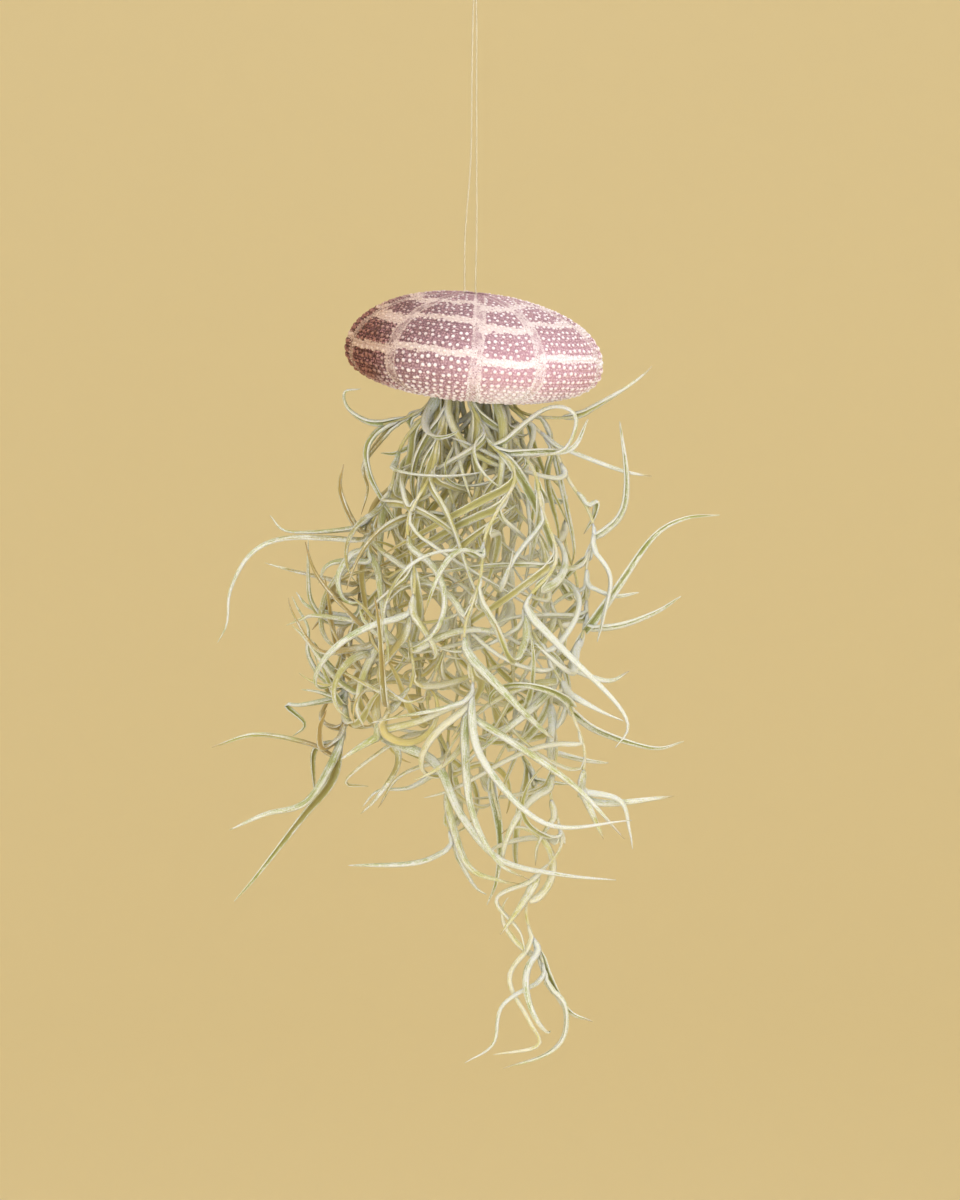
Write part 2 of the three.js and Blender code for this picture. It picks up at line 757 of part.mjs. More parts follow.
// A closed skin over rings of points, shut by a flat end at the root and a point or flat end at the tip.
function skin(rings, tip) {
  const sides = rings[0].length;
  const points = rings.flat();
  const index = [];
  for (let ring = 0; ring < rings.length - 1; ring += 1) {
    for (let side = 0; side < sides; side += 1) {
      const beside = (side + 1) % sides;
      const a = ring * sides + side;
      const b = ring * sides + beside;
      index.push(a, b, b + sides, a, b + sides, a + sides);
    }
  }
  for (let side = 1; side < sides - 1; side += 1) {
    index.push(0, side + 1, side);
  }
  const last = (rings.length - 1) * sides;
  if (tip) {
    points.push(tip);
    for (let side = 0; side < sides; side += 1) {
      index.push(last + side, last + ((side + 1) % sides), points.length - 1);
    }
  } else {
    for (let side = 1; side < sides - 1; side += 1) {
      index.push(last, last + side, last + side + 1);
    }
  }
  return geometryOf(points, index);
}

function nearestOn(run, target) {
  const span = new THREE.Line3();
  const found = new THREE.Vector3();
  let nearest = run[0];
  for (let i = 1; i < run.length; i += 1) {
    span.set(run[i - 1], run[i]).closestPointToPoint(target, true, found);
    if (found.distanceTo(target) < nearest.distanceTo(target)) {
      nearest = found.clone();
    }
  }
  return nearest;
}

// A leaf's section is a flat channel side over a keel. Its root is sunk into the stem.
function leafGeometry(samples, stem, stemDirection) {
  const segments = runLength(samples) > longLeaf ? longLeafSegments : shortLeafSegments;
  const stride = leafSamples / segments;
  const points = samples.filter((_, i) => i % stride === 0);
  points[0] = nearestOn(stem, samples[0]).addScaledVector(directionAt(samples, 0), rootShift);
  const rings = [];
  let up = stemDirection.clone();
  for (let i = 0; i < segments; i += 1) {
    const direction = directionAt(points, i);
    up = up.addScaledVector(direction, -up.dot(direction)).normalize();
    const side = direction.clone().cross(up);
    const half = Math.max(leafHalfAt(i / segments), leafLeastHalf);
    const thick = Math.max(leafKeel * half, leafLeastHalf);
    const rise = leafEdgeRise * thick;
    rings.push([[-half, rise], [half, rise], [0, -thick]].map(
      ([across, above]) => points[i].clone().addScaledVector(side, across).addScaledVector(up, above),
    ));
  }
  return skin(rings, points[segments]);
}

function stemGeometry(points) {
  const segments = points.length - 1;
  let up = new THREE.Vector3(0, 1, 0);
  const rings = points.map((point, i) => {
    const direction = directionAt(points, i);
    up = up.clone().addScaledVector(direction, -up.dot(direction)).normalize();
    const side = direction.clone().cross(up);
    const radius = THREE.MathUtils.lerp(stemRadius, stemTipRadius, i / segments);
    const ring = [];
    for (let k = 0; k < stemSides; k += 1) {
      const turn = -(k / stemSides) * 2 * Math.PI;
      ring.push(point.clone()
        .addScaledVector(side, radius * Math.cos(turn))
        .addScaledVector(up, radius * Math.sin(turn)));
    }
    return ring;
  });
  return skin(rings, null);
}

function toSolid(geometry) {
  const merged = mergeVertices(geometry, 1e-4);
  const mesh = new wasm.Mesh({
    numProp: 3,
    vertProperties: Float32Array.from(merged.attributes.position.array),
    triVerts: Uint32Array.from(merged.index.array),
  });
  return new wasm.Manifold(mesh);
}

// One strand, its leaves fused with its stem. A scrap that the join left loose is dropped.
function strandGeometry(strand) {
  const stem = thinned(strand.line);
  const solids = [toSolid(stemGeometry(stem))];
  strand.grownLeaves.forEach((leaf) => {
    const sample = strand.line.reduce(
      (best, point, i) => (point.distanceTo(leaf[0]) < strand.line[best].distanceTo(leaf[0]) ? i : best),
      0,
    );
    solids.push(toSolid(leafGeometry(leaf, stem, directionAt(strand.line, sample))));
  });
  const bodies = wasm.Manifold.union(solids).simplify(joinTolerance).decompose();
  bodies.sort((a, b) => b.volume() - a.volume());
  const mesh = bodies[0].getMesh();
  const geometry = new THREE.BufferGeometry();
  geometry.setAttribute('position', new THREE.Float32BufferAttribute(mesh.vertProperties, 3));
  geometry.setIndex(Array.from(mesh.triVerts));
  return geometry;
}

const group = new THREE.Group();

const shellGroup = new THREE.Group();
shellGroup.position.copy(shellCentre);
shellGroup.rotation.set(shellTiltForward, 0, 0);
const shellLean = new THREE.Group();
shellLean.rotation.set(0, shellTiltRight, 0);
shellLean.add(piece('urchin_shell', shellGeometry(), material(colours.shell, 0.75)));
const toggle = piece(
  'toggle',
  new THREE.CylinderGeometry(toggleRadius, toggleRadius, toggleLength, toggleSides),
  material(colours.toggle, 0.7),
);
toggle.position.copy(togglePlace);
shellLean.add(toggle);
const tie = piece('line_tie', tieGeometry(), material(colours.line, 0.25));
tie.position.copy(togglePlace);
shellLean.add(tie);
shellGroup.add(shellLean);
group.add(shellGroup);

const line = new THREE.ExtrudeGeometry(roundSection(lineRadius, lineSides), {
  steps: lineSteps,
  bevelEnabled: false,
  extrudePath: new THREE.CatmullRomCurve3(lineRoute(), false, 'catmullrom', 0.5),
});
group.add(piece('line', line, material(colours.line, 0.2)));
group.add(piece('knot', knotGeometry(), material(colours.line, 0.25)));

growMoss();
const moss = new THREE.Group();
moss.position.copy(mossCentre);
const mossFinish = material(colours.moss, 0.9);
strands.forEach((strand) => {
  moss.add(piece(strand.name, strandGeometry(strand), mossFinish));
});
group.add(moss);

export default group;
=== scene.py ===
import math

import bmesh
import bpy
import numpy as np
from mathutils import Matrix, Vector


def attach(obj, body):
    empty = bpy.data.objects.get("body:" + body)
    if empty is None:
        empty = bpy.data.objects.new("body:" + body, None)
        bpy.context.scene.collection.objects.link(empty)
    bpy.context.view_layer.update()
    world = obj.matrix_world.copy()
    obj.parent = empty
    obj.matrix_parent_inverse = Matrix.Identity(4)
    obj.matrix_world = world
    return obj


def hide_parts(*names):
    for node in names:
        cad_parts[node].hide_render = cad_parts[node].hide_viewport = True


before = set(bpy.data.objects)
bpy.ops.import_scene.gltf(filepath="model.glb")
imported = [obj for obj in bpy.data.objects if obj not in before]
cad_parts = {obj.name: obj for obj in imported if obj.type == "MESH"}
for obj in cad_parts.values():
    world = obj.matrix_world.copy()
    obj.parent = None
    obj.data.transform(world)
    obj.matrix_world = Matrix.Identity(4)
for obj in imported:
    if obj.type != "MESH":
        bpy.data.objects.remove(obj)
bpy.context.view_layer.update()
mm = 0.001
degree = math.pi / 180


def linkPiece(name, data, material=None):
    piece = bpy.data.objects.new(name, data)
    bpy.context.scene.collection.objects.link(piece)
    if material:
        data.materials.append(material)
    return piece


# The camera looks level at the shell, as the photo does

cameraView = {
    "target": (0.00155, 0.0, -0.2114),
    "distance": 1.6,
    "height": -0.135,
    "frameHeight": 0.372,
    "sensor": 36.0,
    "clipEnd": 30.0,
}


def placeCamera():
    target = Vector(cameraView["target"])
    eye = Vector((target.x, -cameraView["distance"], cameraView["height"]))
    data = bpy.data.cameras.new("photo_view")
    data.sensor_fit = "VERTICAL"
    data.sensor_height = cameraView["sensor"]
    data.lens = cameraView["sensor"] * (eye - target).length / cameraView["frameHeight"]
    data.clip_end = cameraView["clipEnd"]
    camera = linkPiece("photo_view", data)
    camera.location = eye
    camera.rotation_euler = (target - eye).to_track_quat("-Z", "Y").to_euler()
    bpy.context.scene.camera = camera


placeCamera()
bpy.context.scene.view_settings.view_transform = "Standard"
print("camera placed")


# Helpers for pieces

def meshFrom(shape, name):
    mesh = bpy.data.meshes.new(name)
    shape.to_mesh(mesh)
    shape.free()
    mesh.shade_smooth()
    return mesh


def joinVerts(shape, verts):
    for first, second in zip(verts, verts[1:]):
        shape.edges.new((first, second))


def spinRound(shape, steps, turns=1, rise=0.0):
    # sweeps all that is drawn round the upright axis; with a rise it winds up as a coil
    bmesh.ops.spin(
        shape, geom=list(shape.verts) + list(shape.edges), cent=(0, 0, 0), axis=(0, 0, 1),
        dvec=(0, 0, rise), angle=turns * 2 * math.pi, steps=steps, use_merge=not rise)


def pointsOf(mesh):
    points = np.empty(len(mesh.vertices) * 3)
    mesh.vertices.foreach_get("co", points)
    return points.reshape(-1, 3)


def movePoints(mesh, points):
    mesh.vertices.foreach_set("co", np.ascontiguousarray(points, dtype=np.float32).ravel())
    mesh.update()


def addAttribute(mesh, name, values):
    layer = mesh.attributes.new(name, "FLOAT", "POINT")
    layer.data.foreach_set("value", np.ascontiguousarray(values, dtype=np.float32).ravel())


def standsFor(piece, slot, *nodes):
    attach(piece, "root")
    if nodes:
        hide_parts(*nodes)


def unitRows(rows):
    return rows / np.maximum(np.linalg.norm(rows, axis=-1, keepdims=True), 1e-12)


def travelled(points):
    # how far along a run each of its points lies
    steps = np.linalg.norm(np.diff(points, axis=0), axis=1)
    return np.concatenate([[0], np.cumsum(steps)])


def turnRows(rows, axes, angles):
    # turns each row about its own unit axis
    angles = np.asarray(angles)[..., None]
    cosine, sine = np.cos(angles), np.sin(angles)
    onAxis = (rows * axes).sum(axis=-1, keepdims=True)
    return rows * cosine + np.cross(axes, rows) * sine + axes * onAxis * (1 - cosine)


# Helpers for materials: a wire is one node's output, and takes arithmetic

def operation(name, reflected=False):
    # a method for one kind of Math node, with the wire as its first value or, reflected, its last
    def method(self, *others):
        values = (*others, self) if reflected else (self, *others)
        return self.look.add("Math", {"operation": name}, dict(enumerate(values)))

    return method


class Wire:
    __add__, __radd__ = operation("ADD"), operation("ADD", True)
    __sub__, __rsub__ = operation("SUBTRACT"), operation("SUBTRACT", True)
    __mul__, __rmul__ = operation("MULTIPLY"), operation("MULTIPLY", True)
    __truediv__, __rtruediv__ = operation("DIVIDE"), operation("DIVIDE", True)
    absolute, squareRoot = operation("ABSOLUTE"), operation("SQRT")
    least, most = operation("MINIMUM"), operation("MAXIMUM")
    power, wrapped, turnFrom = operation("POWER"), operation("FLOORED_MODULO"), operation("ARCTAN2")

    def __init__(self, look, socket):
        self.look = look
        self.socket = socket

    def __neg__(self):
        return self * -1.0

    def between(self, low, high):
        # 0 at low, 1 at high, eased; low may be above high
        return self.look.add(
            "MapRange",
            {"interpolation_type": "SMOOTHSTEP", "clamp": True},
            {"Value": self, "From Min": low, "From Max": high, "To Min": 0.0, "To Max": 1.0},
        )


class Look:
    def __init__(self, name, **constants):
        self.material = bpy.data.materials.new(name)
        self.material.use_nodes = True
        self.tree = self.material.node_tree
        self.shader = self.tree.nodes["Principled BSDF"]
        for socket, value in constants.items():
            self.shader.inputs[socket.replace("_", " ")].default_value = value

    def add(self, kind, settings=None, sockets=None, output=0):
        node = self.tree.nodes.new("ShaderNode" + kind)
        for setting, value in (settings or {}).items():
            setattr(node, setting, value)
        for socket, value in (sockets or {}).items():
            self.plug(node.inputs[socket], value)
        return Wire(self, node.outputs[output])

    def plug(self, socket, value):
        if isinstance(value, Wire):
            self.tree.links.new(value.socket, socket)
        else:
            socket.default_value = value

    def feed(self, socket, value):
        self.plug(self.shader.inputs[socket], value)

    def mix(self, share, first, second):
        settings = {"data_type": "RGBA", "clamp_factor": True}
        return self.add("Mix", settings, {0: share, 6: first, 7: second}, output=2)

    def noise(self, vector, scale, detail, roughness=0.55):
        sockets = {"Vector": vector, "Scale": scale, "Detail": detail, "Roughness": roughness}
        return self.add("TexNoise", None, sockets)

    def cells(self, vector, scale):
        return self.add("TexVoronoi", None, {"Vector": vector, "Scale": scale})

    def place(self):
        return self.add("TexCoord", output="Object")

    def attribute(self, name):
        return self.add("Attribute", {"attribute_name": name}, output="Fac")

    def vector(self, x, y, z):
        return self.add("CombineXYZ", None, {"X": x, "Y": y, "Z": z})

    def axes(self, vector):
        outputs = self.add("SeparateXYZ", None, {"Vector": vector}).socket.node.outputs
        return [Wire(self, output) for output in outputs]

    def bump(self, height, distance, strength):
        bump = self.add("Bump", None, {"Height": height, "Distance": distance, "Strength": strength})
        self.feed("Normal", bump)


def shade(red, green, blue):
    # a colour as an eye would name it, from 0 to 255, made linear
    linear = []
    for part in (red, green, blue):
        part = part / 255
        linear.append(part / 12.92 if part <= 0.04045 else ((part + 0.055) / 1.055) ** 2.4)
    return (*linear, 1.0)


# The line: two clear strands, tied on the toggle, knotted and looped above

lineForm = {
    "radius": 0.25,
    "sides": 8,
    "curveSteps": 10,
    "bevelSteps": 3,
    "strandHalfGap": 0.4,
    "strandSpread": 1.7,
    "strandStart": 6.0,
    "leftSweep": 1.6,
    "leftBends": (-1.3, -0.95, -0.7),
    "rightBends": (0.5, 0.5, 0.5, 0.5),
    "bends": [(0.85, -100), (0.6, -75), (0.35, -52), (0.15, -35)],  # share of the tie's depth, height
    "knotTop": -17.0,
    "knotHeight": 4.5,
    "knotEntry": 3.0,
    "halfLoop": [(0.7, -15), (2.7, -11), (3.9, -6), (3.1, -1.9)],  # distance from the middle, height
    "coilSteps": 20,
    "tieHeight": 1.8,
    "tie": {"coilRadius": 1.35, "turns": 3, "pitch": 0.56},
    "knot": {"coilRadius": 1.3, "turns": 7, "pitch": 0.58},
    "togglePlace": (-2.7, 0.0, 15.9),
}

shellPlace = {
    "centre": (-0.3, 1.4, -136.0),
    "tiltRight": 5.4,
    "tiltForward": 4.8,
}


def shellMatrix():
    # from the shell's own frame, in mm, to the part's, in metres
    return (
        Matrix.Scale(mm, 4)
        @ Matrix.Translation(shellPlace["centre"])
        @ Matrix.Rotation(shellPlace["tiltForward"] * degree, 4, "X")
        @ Matrix.Rotation(shellPlace["tiltRight"] * degree, 4, "Y")
    )


def toggleMatrix():
    # the toggle lies from front to back under the top hole
    return shellMatrix() @ Matrix.Translation(lineForm["togglePlace"]) @ Matrix.Rotation(math.pi / 2, 4, "X")


def lineRoute():
    x, y, z = shellMatrix() @ Vector(lineForm["togglePlace"]) / mm
    start = z + lineForm["tieHeight"]
    top = lineForm["knotTop"]
    bottom = top - lineForm["knotHeight"]

    def strand(side, bends):
        # from the tie up through the knot and half round the loop
        foot = x + side * lineForm["strandSpread"]
        gap = side * lineForm["strandHalfGap"]
        points = [(foot, y, start), (foot, y, start + lineForm["strandStart"])]
        points += [(across, y * share, height) for across, (share, height) in zip(bends, lineForm["bends"])]
        points += [(gap, 0, height) for height in (bottom - lineForm["knotEntry"], bottom, top)]
        return points + [(side * out, 0, height) for out, height in lineForm["halfLoop"]]

    left = strand(-1, (x - lineForm["leftSweep"], *lineForm["leftBends"]))
    right = strand(1, lineForm["rightBends"])
    return [Vector(point) * mm for point in left + [(0, 0, lineForm["radius"])] + right[::-1]]


def lineLook():
    look = Look("clear_line", Roughness=0.16, IOR=1.5, Transmission_Weight=0.85)
    drift = look.noise(look.place(), 240.0, 2.0)
    look.feed("Base Color", look.mix(drift, shade(224, 224, 214), shade(244, 242, 234)))
    look.bump(drift, 0.00003, 0.3)
    return look.material


def makeLine(material):
    route = lineRoute()
    curve = bpy.data.curves.new("line_cord", "CURVE")
    curve.dimensions = "3D"
    curve.resolution_u = lineForm["curveSteps"]
    curve.bevel_depth = lineForm["radius"] * mm
    curve.bevel_resolution = lineForm["bevelSteps"]
    curve.use_fill_caps = True
    spline = curve.splines.new("BEZIER")
    spline.bezier_points.add(len(route) - 1)
    for point, place in zip(spline.bezier_points, route):
        point.co = place
        point.handle_left_type = "AUTO"
        point.handle_right_type = "AUTO"
    return linkPiece("line_cord", curve, material)


def makeCoil(name, coilRadius, turns, pitch, matrix, material):
    # turns of the line, wound round an axis
    shape = bmesh.new()
    circle = bmesh.ops.create_circle(shape, segments=lineForm["sides"], radius=lineForm["radius"])
    lift = Matrix.Translation((coilRadius, 0, 0)) @ Matrix.Rotation(math.pi / 2, 4, "X")
    bmesh.ops.transform(shape, matrix=lift, verts=circle["verts"])
    steps = lineForm["coilSteps"]
    spinRound(shape, turns * steps, turns, pitch / steps)
    bmesh.ops.holes_fill(shape, edges=[edge for edge in shape.edges if edge.is_boundary])
    bmesh.ops.translate(shape, vec=(0, 0, -pitch * turns / 2), verts=shape.verts)
    bmesh.ops.recalc_face_normals(shape, faces=shape.faces)
    bmesh.ops.transform(shape, matrix=matrix, verts=shape.verts)
    return linkPiece(name, meshFrom(shape, name), material)


clearLine = lineLook()
cordPiece = makeLine(clearLine)
tiePiece = makeCoil("tie_turns", **lineForm["tie"], matrix=toggleMatrix(), material=clearLine)
toKnot = Matrix.Scale(mm, 4) @ Matrix.Translation((0, 0, lineForm["knotTop"] - lineForm["knotHeight"] / 2))
knotPiece = makeCoil("knot_turns", **lineForm["knot"], matrix=toKnot, material=clearLine)
standsFor(cordPiece, "line", "line")
standsFor(tiePiece, "line", "line_tie")
standsFor(knotPiece, "line", "knot")
tuple(lineRoute()[0])
print("line strung")


# The studio: a round floor that sweeps up into a wall, a broad light in front, a key on the right
# and one above, in a pale room

stageForm = {
    "floor": -2.2,
    "radius": 5.0,
    "wall": 5.4,
    "bend": 1.2,
    "bendSteps": 12,
    "columns": 96,
    "colour": (221, 208, 170),
    "drift": (-3, 2),
}

lights = [
    {"name": "key", "place": (1.5, -1.2, 0.3), "size": 1.2, "power": 9.0, "tint": (1.0, 1.0, 1.0)},
    {"name": "front", "place": (-0.4, -2.6, -0.4), "size": 2.4, "power": 60.0, "tint": (0.99, 1.0, 1.0)},
    {"name": "top", "place": (0.3, 0.5, 1.2), "size": 1.2, "power": 7.0, "tint": (1.0, 0.98, 0.94)},
]

lightAim = (0.0, 0.0, -0.2)
worldLight = {"colour": (1.0, 0.965, 0.91, 1.0), "strength": 1.28}


def makeStage():
    look = Look("sweep", Roughness=0.9)
    low, high = (shade(*(part + drift for part in stageForm["colour"])) for drift in stageForm["drift"])
    look.feed("Base Color", look.mix(look.noise(look.place(), 0.6, 2.0), low, high))
    floor, radius, bend = stageForm["floor"], stageForm["radius"], stageForm["bend"]
    profile = [(0.0, floor), (radius - bend, floor)]
    for step in range(1, stageForm["bendSteps"] + 1):
        turn = step / stageForm["bendSteps"] * math.pi / 2
        profile.append((radius - bend + bend * math.sin(turn), floor + bend - bend * math.cos(turn)))
    profile.append((radius, floor + stageForm["wall"]))
    shape = bmesh.new()
    joinVerts(shape, [shape.verts.new((out, 0.0, height)) for out, height in profile])
    spinRound(shape, stageForm["columns"])
    bmesh.ops.remove_doubles(shape, verts=shape.verts, dist=1e-5)
    linkPiece("sweep", meshFrom(shape, "sweep"), look.material)


def makeLights():
    for light in lights:
        data = bpy.data.lights.new(light["name"], "AREA")
        data.size = light["size"]
        data.energy = light["power"]
        data.color = light["tint"]
        lamp = linkPiece(light["name"], data)
        lamp.location = light["place"]
        aim = Vector(lightAim) - lamp.location
        lamp.rotation_euler = aim.to_track_quat("-Z", "Y").to_euler()
    world = bpy.data.worlds.new("soft_room")
    world.use_nodes = True
    background = world.node_tree.nodes["Background"]
    background.inputs["Color"].default_value = worldLight["colour"]
    background.inputs["Strength"].default_value = worldLight["strength"]
    bpy.context.scene.world = world


makeStage()
makeLights()
print("studio lit")


# The urchin shell: a thin wall, rows of tubercles, and granules between them

shellForm = {
    "halfWidth": 39.5,
    "rise": 19.5,
    "drop": 12.9,
    "wall": 1.8,
    "upperFullness": 0.95,
    "lowerFullness": 0.84,
    "lobeDepth": 0.012,
    "lobeTurn": -72.0,
    "topHoleRadius": 3.4,
    "topHoleX": -2.0,
    "mouthRadius": 15.5,
    "columns": 200,
    "outerRows": 56,
    "innerRows": 14,
    "fifth": 72.0,
    "poreBandStart": 0.8,
    "poreSector": 30.2,
    "poreHalfWidth": 1.8,
    "poreRail": 1.5,
    "rowMargins": (0.4, 0.3),
    "rowStagger": 0.22,
    "rowRounding": 0.4,
    "rowSamples": 800,
    "largestSize": 1.2,
    "seed": 41,
}

# a radius is for the least and the full size; the drift is up and down in radians, sideways in mm;
# the sizes go by latitude
tubercleForm = {
    "step": 2.3,
    "radius": (0.38, 0.82),
    "leastSpan": 1.2,
    "drift": (0.013, 0.24),
    "sizes": ([-0.9, -0.2, 0.5, 1.3], [1.0, 0.95, 0.62, 0.3]),
    "spread": (0.7, 1.16),
    "flatness": 0.95,
    "sunk": 0.1,
    "ball": {"u_segments": 8, "v_segments": 5, "radius": 1.0},
}

granuleForm = {
    "step": 1.03,
    "radius": (0.3, 0.46),
    "drift": (0.006, 0.2),
    "sizes": ([-0.9, 0.1, 1.3], [1.15, 1.0, 0.7]),
    "bandHalfWidth": 1.2,
    "sizeInBand": 0.35,
    "missingInBand": 0.3,
    "clearance": 0.74,
    "flatness": 1.0,
    "sunk": 0.0,
    "ball": {"subdivisions": 1, "radius": 1.0},
}


def shellPoints(latitude, longitude, inset=0.0):
    # points of the wall; latitude is 90 degrees at the top, longitude 0 at the front
    upper = latitude > 0
    fullness = np.where(upper, shellForm["upperFullness"], shellForm["lowerFullness"])
    height = np.where(upper, shellForm["rise"], shellForm["drop"]) - inset
    turn = longitude - shellForm["lobeTurn"] * degree
    lobes = 1 + shellForm["lobeDepth"] * np.cos(5 * turn) * np.cos(latitude)
    radius = (shellForm["halfWidth"] - inset) * np.cos(latitude) ** fullness * lobes
    z = np.sign(latitude) * height * np.abs(np.sin(latitude)) ** fullness
    shift = shellForm["topHoleX"] * np.maximum(0, np.sin(latitude)) ** 6
    return np.stack([radius * np.sin(longitude) + shift, -radius * np.cos(longitude), z], axis=-1)


def ringRadius(latitude):
    return abs(shellPoints(np.array([latitude]), np.array([0.0]))[0][1])


def shellNormals(points):
    depth = np.where(points[:, 2] > 0, shellForm["rise"], shellForm["drop"])
    away = points.copy()
    away[:, 2] *= (shellForm["halfWidth"] / depth) ** 2
    return unitRows(away)


def shellEnds():
    # the latitudes of the top hole's rim and of the mouth's
    def rim(hole, fullness):
        return math.acos((shellForm[hole] / shellForm["halfWidth"]) ** (1 / shellForm[fullness]))

    return rim("topHoleRadius", "upperFullness"), -rim("mouthRadius", "lowerFullness")


def toPart(points):
    matrix = np.array(shellMatrix())
    return points @ matrix[:3, :3].T + matrix[:3, 3]


def makeShellWall(material):
    top, mouth = shellEnds()
    outer = [(top + (mouth - top) * row / (shellForm["outerRows"] - 1), 0.0)
             for row in range(shellForm["outerRows"])]
    inner = [(mouth + (top - mouth) * row / (shellForm["innerRows"] - 1), shellForm["wall"])
             for row in range(shellForm["innerRows"])]
    shape = bmesh.new()
    latitudes = shape.verts.layers.float.new("latitude")
    insets = shape.verts.layers.float.new("inset")
    ring = []
    for latitude, inset in outer + inner:
        _, y, z = shellPoints(np.array([latitude]), np.array([0.0]), inset)[0]
        vert = shape.verts.new((0.0, y, z))
        vert[latitudes] = latitude
        vert[insets] = inset
        ring.append(vert)
    joinVerts(shape, ring + ring[:1])
    spinRound(shape, shellForm["columns"])
    bmesh.ops.recalc_face_normals(shape, faces=shape.faces)
    for vert in shape.verts:
        longitude = math.atan2(vert.co.x, -vert.co.y)
        vert.co = shellPoints(np.array([vert[latitudes]]), np.array([longitude]), vert[insets])[0]
    mesh = meshFrom(shape, "shell_wall")
    movePoints(mesh, toPart(pointsOf(mesh)))
    for relief in ("grain", "boss"):
        addAttribute(mesh, relief, np.zeros(len(mesh.vertices)))
    return linkPiece("shell_wall", mesh, material)


def fromPoreBand(longitude, around):
    # how far a place is from the middle of the nearest pore band, in mm
    fifth = shellForm["fifth"]
    share = (np.degrees(longitude) - shellForm["poreBandStart"]) % fifth
    nearest = np.minimum(np.minimum(share, fifth - share), np.abs(share - shellForm["poreSector"]))
    return np.radians(nearest) * around


def rowLatitudes(step):
    # rows an even step apart, measured along the wall
    fine = np.linspace(*shellEnds(), shellForm["rowSamples"])
    along = travelled(shellPoints(fine, np.zeros(len(fine))))
    first, last = shellForm["rowMargins"]
    places = np.linspace(first * step, along[-1] - last * step, int(along[-1] / step))
    return np.interp(places, along, fine)


def tuberclePlaces(random):
    # each of the ten sectors carries upright rows, fewer towards the two ends
    step, margin = tubercleForm["step"], shellForm["poreHalfWidth"]
    upDrift, sideDrift = tubercleForm["drift"]
    sectors = [(0.0, shellForm["poreSector"]), (shellForm["poreSector"], shellForm["fifth"])]
    places = []
    for row, latitude in enumerate(rowLatitudes(step)):
        around = ringRadius(latitude)
        stagger = 0.5 + shellForm["rowStagger"] * (row % 2 - 0.5)
        fullSize = np.interp(latitude, *tubercleForm["sizes"])
        for fifth in range(5):
            for start, end in sectors:
                span = (end - start) * degree * around - 2 * margin
                count = int(span / step + shellForm["rowRounding"])
                count = max(count, 1 if span > tubercleForm["leastSpan"] else 0)
                turn = (start + fifth * shellForm["fifth"] + shellForm["poreBandStart"]) * degree
                for number in range(count):
                    across = margin + span * (number + stagger) / count + random.normal(0, sideDrift)
                    size = fullSize * random.uniform(*tubercleForm["spread"])
                    places.append((latitude + random.normal(0, upDrift), turn + across / around, size))
    return np.array(places)


def granulePlaces(random, tubercles):
    # closer rows of small granules, left out where a tubercle stands
    upDrift, sideDrift = granuleForm["drift"]
    places = []
    for row, latitude in enumerate(rowLatitudes(granuleForm["step"])):
        around = ringRadius(latitude)
        count = int(2 * math.pi * around / granuleForm["step"])
        turns = (np.arange(count) + 0.5 * (row % 2)) / count * 2 * math.pi
        turns += random.normal(0, sideDrift, count) / around
        sizes = random.uniform(0.0, 1.0, count)
        latitudes = latitude + random.normal(0, upDrift, count)
        inBand = fromPoreBand(turns, around) < granuleForm["bandHalfWidth"]
        sizes[inBand] *= granuleForm["sizeInBand"]
        kept = ~(inBand & (random.uniform(0.0, 1.0, count) < granuleForm["missingInBand"]))
        places.extend(zip(latitudes[kept], turns[kept], sizes[kept]))
    places = np.array(places)
    centres = shellPoints(tubercles[:, 0], tubercles[:, 1])
    spots = shellPoints(places[:, 0], places[:, 1])
    nearest = [np.linalg.norm(centres - spot, axis=1).min() for spot in spots]
    return places[np.array(nearest) > granuleForm["clearance"]]


def domes(name, kind, ball, form, places, radii, material, random):
    # copies of a ball, each spun by a draw and set on the wall
    centres = shellPoints(places[:, 0], places[:, 1])
    normals = shellNormals(centres)
    aside = [0.0, 0.31, 0.95]
    spin = random.uniform(0, math.pi, len(places))
    sides = turnRows(unitRows(np.cross(normals, aside)), normals, spin)
    ups = np.cross(normals, sides)
    high = (radii * form["flatness"])[:, None]
    template = meshFrom(ball, kind)
    corners = pointsOf(template)
    points = (centres - normals * form["sunk"] * high)[:, None]
    for axis, reach in enumerate((sides * radii[:, None], ups * radii[:, None], normals * high)):
        points = points + reach[:, None] * corners[None, :, axis, None]
    shape = bmesh.new()
    for _ in places:
        shape.from_mesh(template)
    mesh = meshFrom(shape, name)
    movePoints(mesh, toPart(points.reshape(-1, 3)))
    raised = np.tile(np.clip(corners[:, 2], 0.0, 1.0), len(places))
    for relief in ("grain", "boss"):
        addAttribute(mesh, relief, raised * (relief == kind))
    bpy.data.meshes.remove(template)
    return linkPiece(name, mesh, material)


def radiiOf(form, sizes):
    small, large = form["radius"]
    return small + (large - small) * np.clip(sizes, 0, shellForm["largestSize"])


def makeShellRelief(material):
    random = np.random.default_rng(shellForm["seed"])
    tubercles = tuberclePlaces(random)
    granules = granulePlaces(random, tubercles)
    boss, grain = bmesh.new(), bmesh.new()
    bmesh.ops.create_uvsphere(boss, **tubercleForm["ball"])
    bmesh.ops.create_icosphere(grain, **granuleForm["ball"])
    bosses = radiiOf(tubercleForm, tubercles[:, 2])
    grains = radiiOf(granuleForm, granules[:, 2]) * np.interp(granules[:, 0], *granuleForm["sizes"])
    print("shell relief:", len(tubercles), "tubercles,", len(granules), "granules")
    return (
        domes("shell_tubercles", "boss", boss, tubercleForm, tubercles, bosses, material, random),
        domes("shell_granules", "grain", grain, granuleForm, granules, grains, material, random),
    )


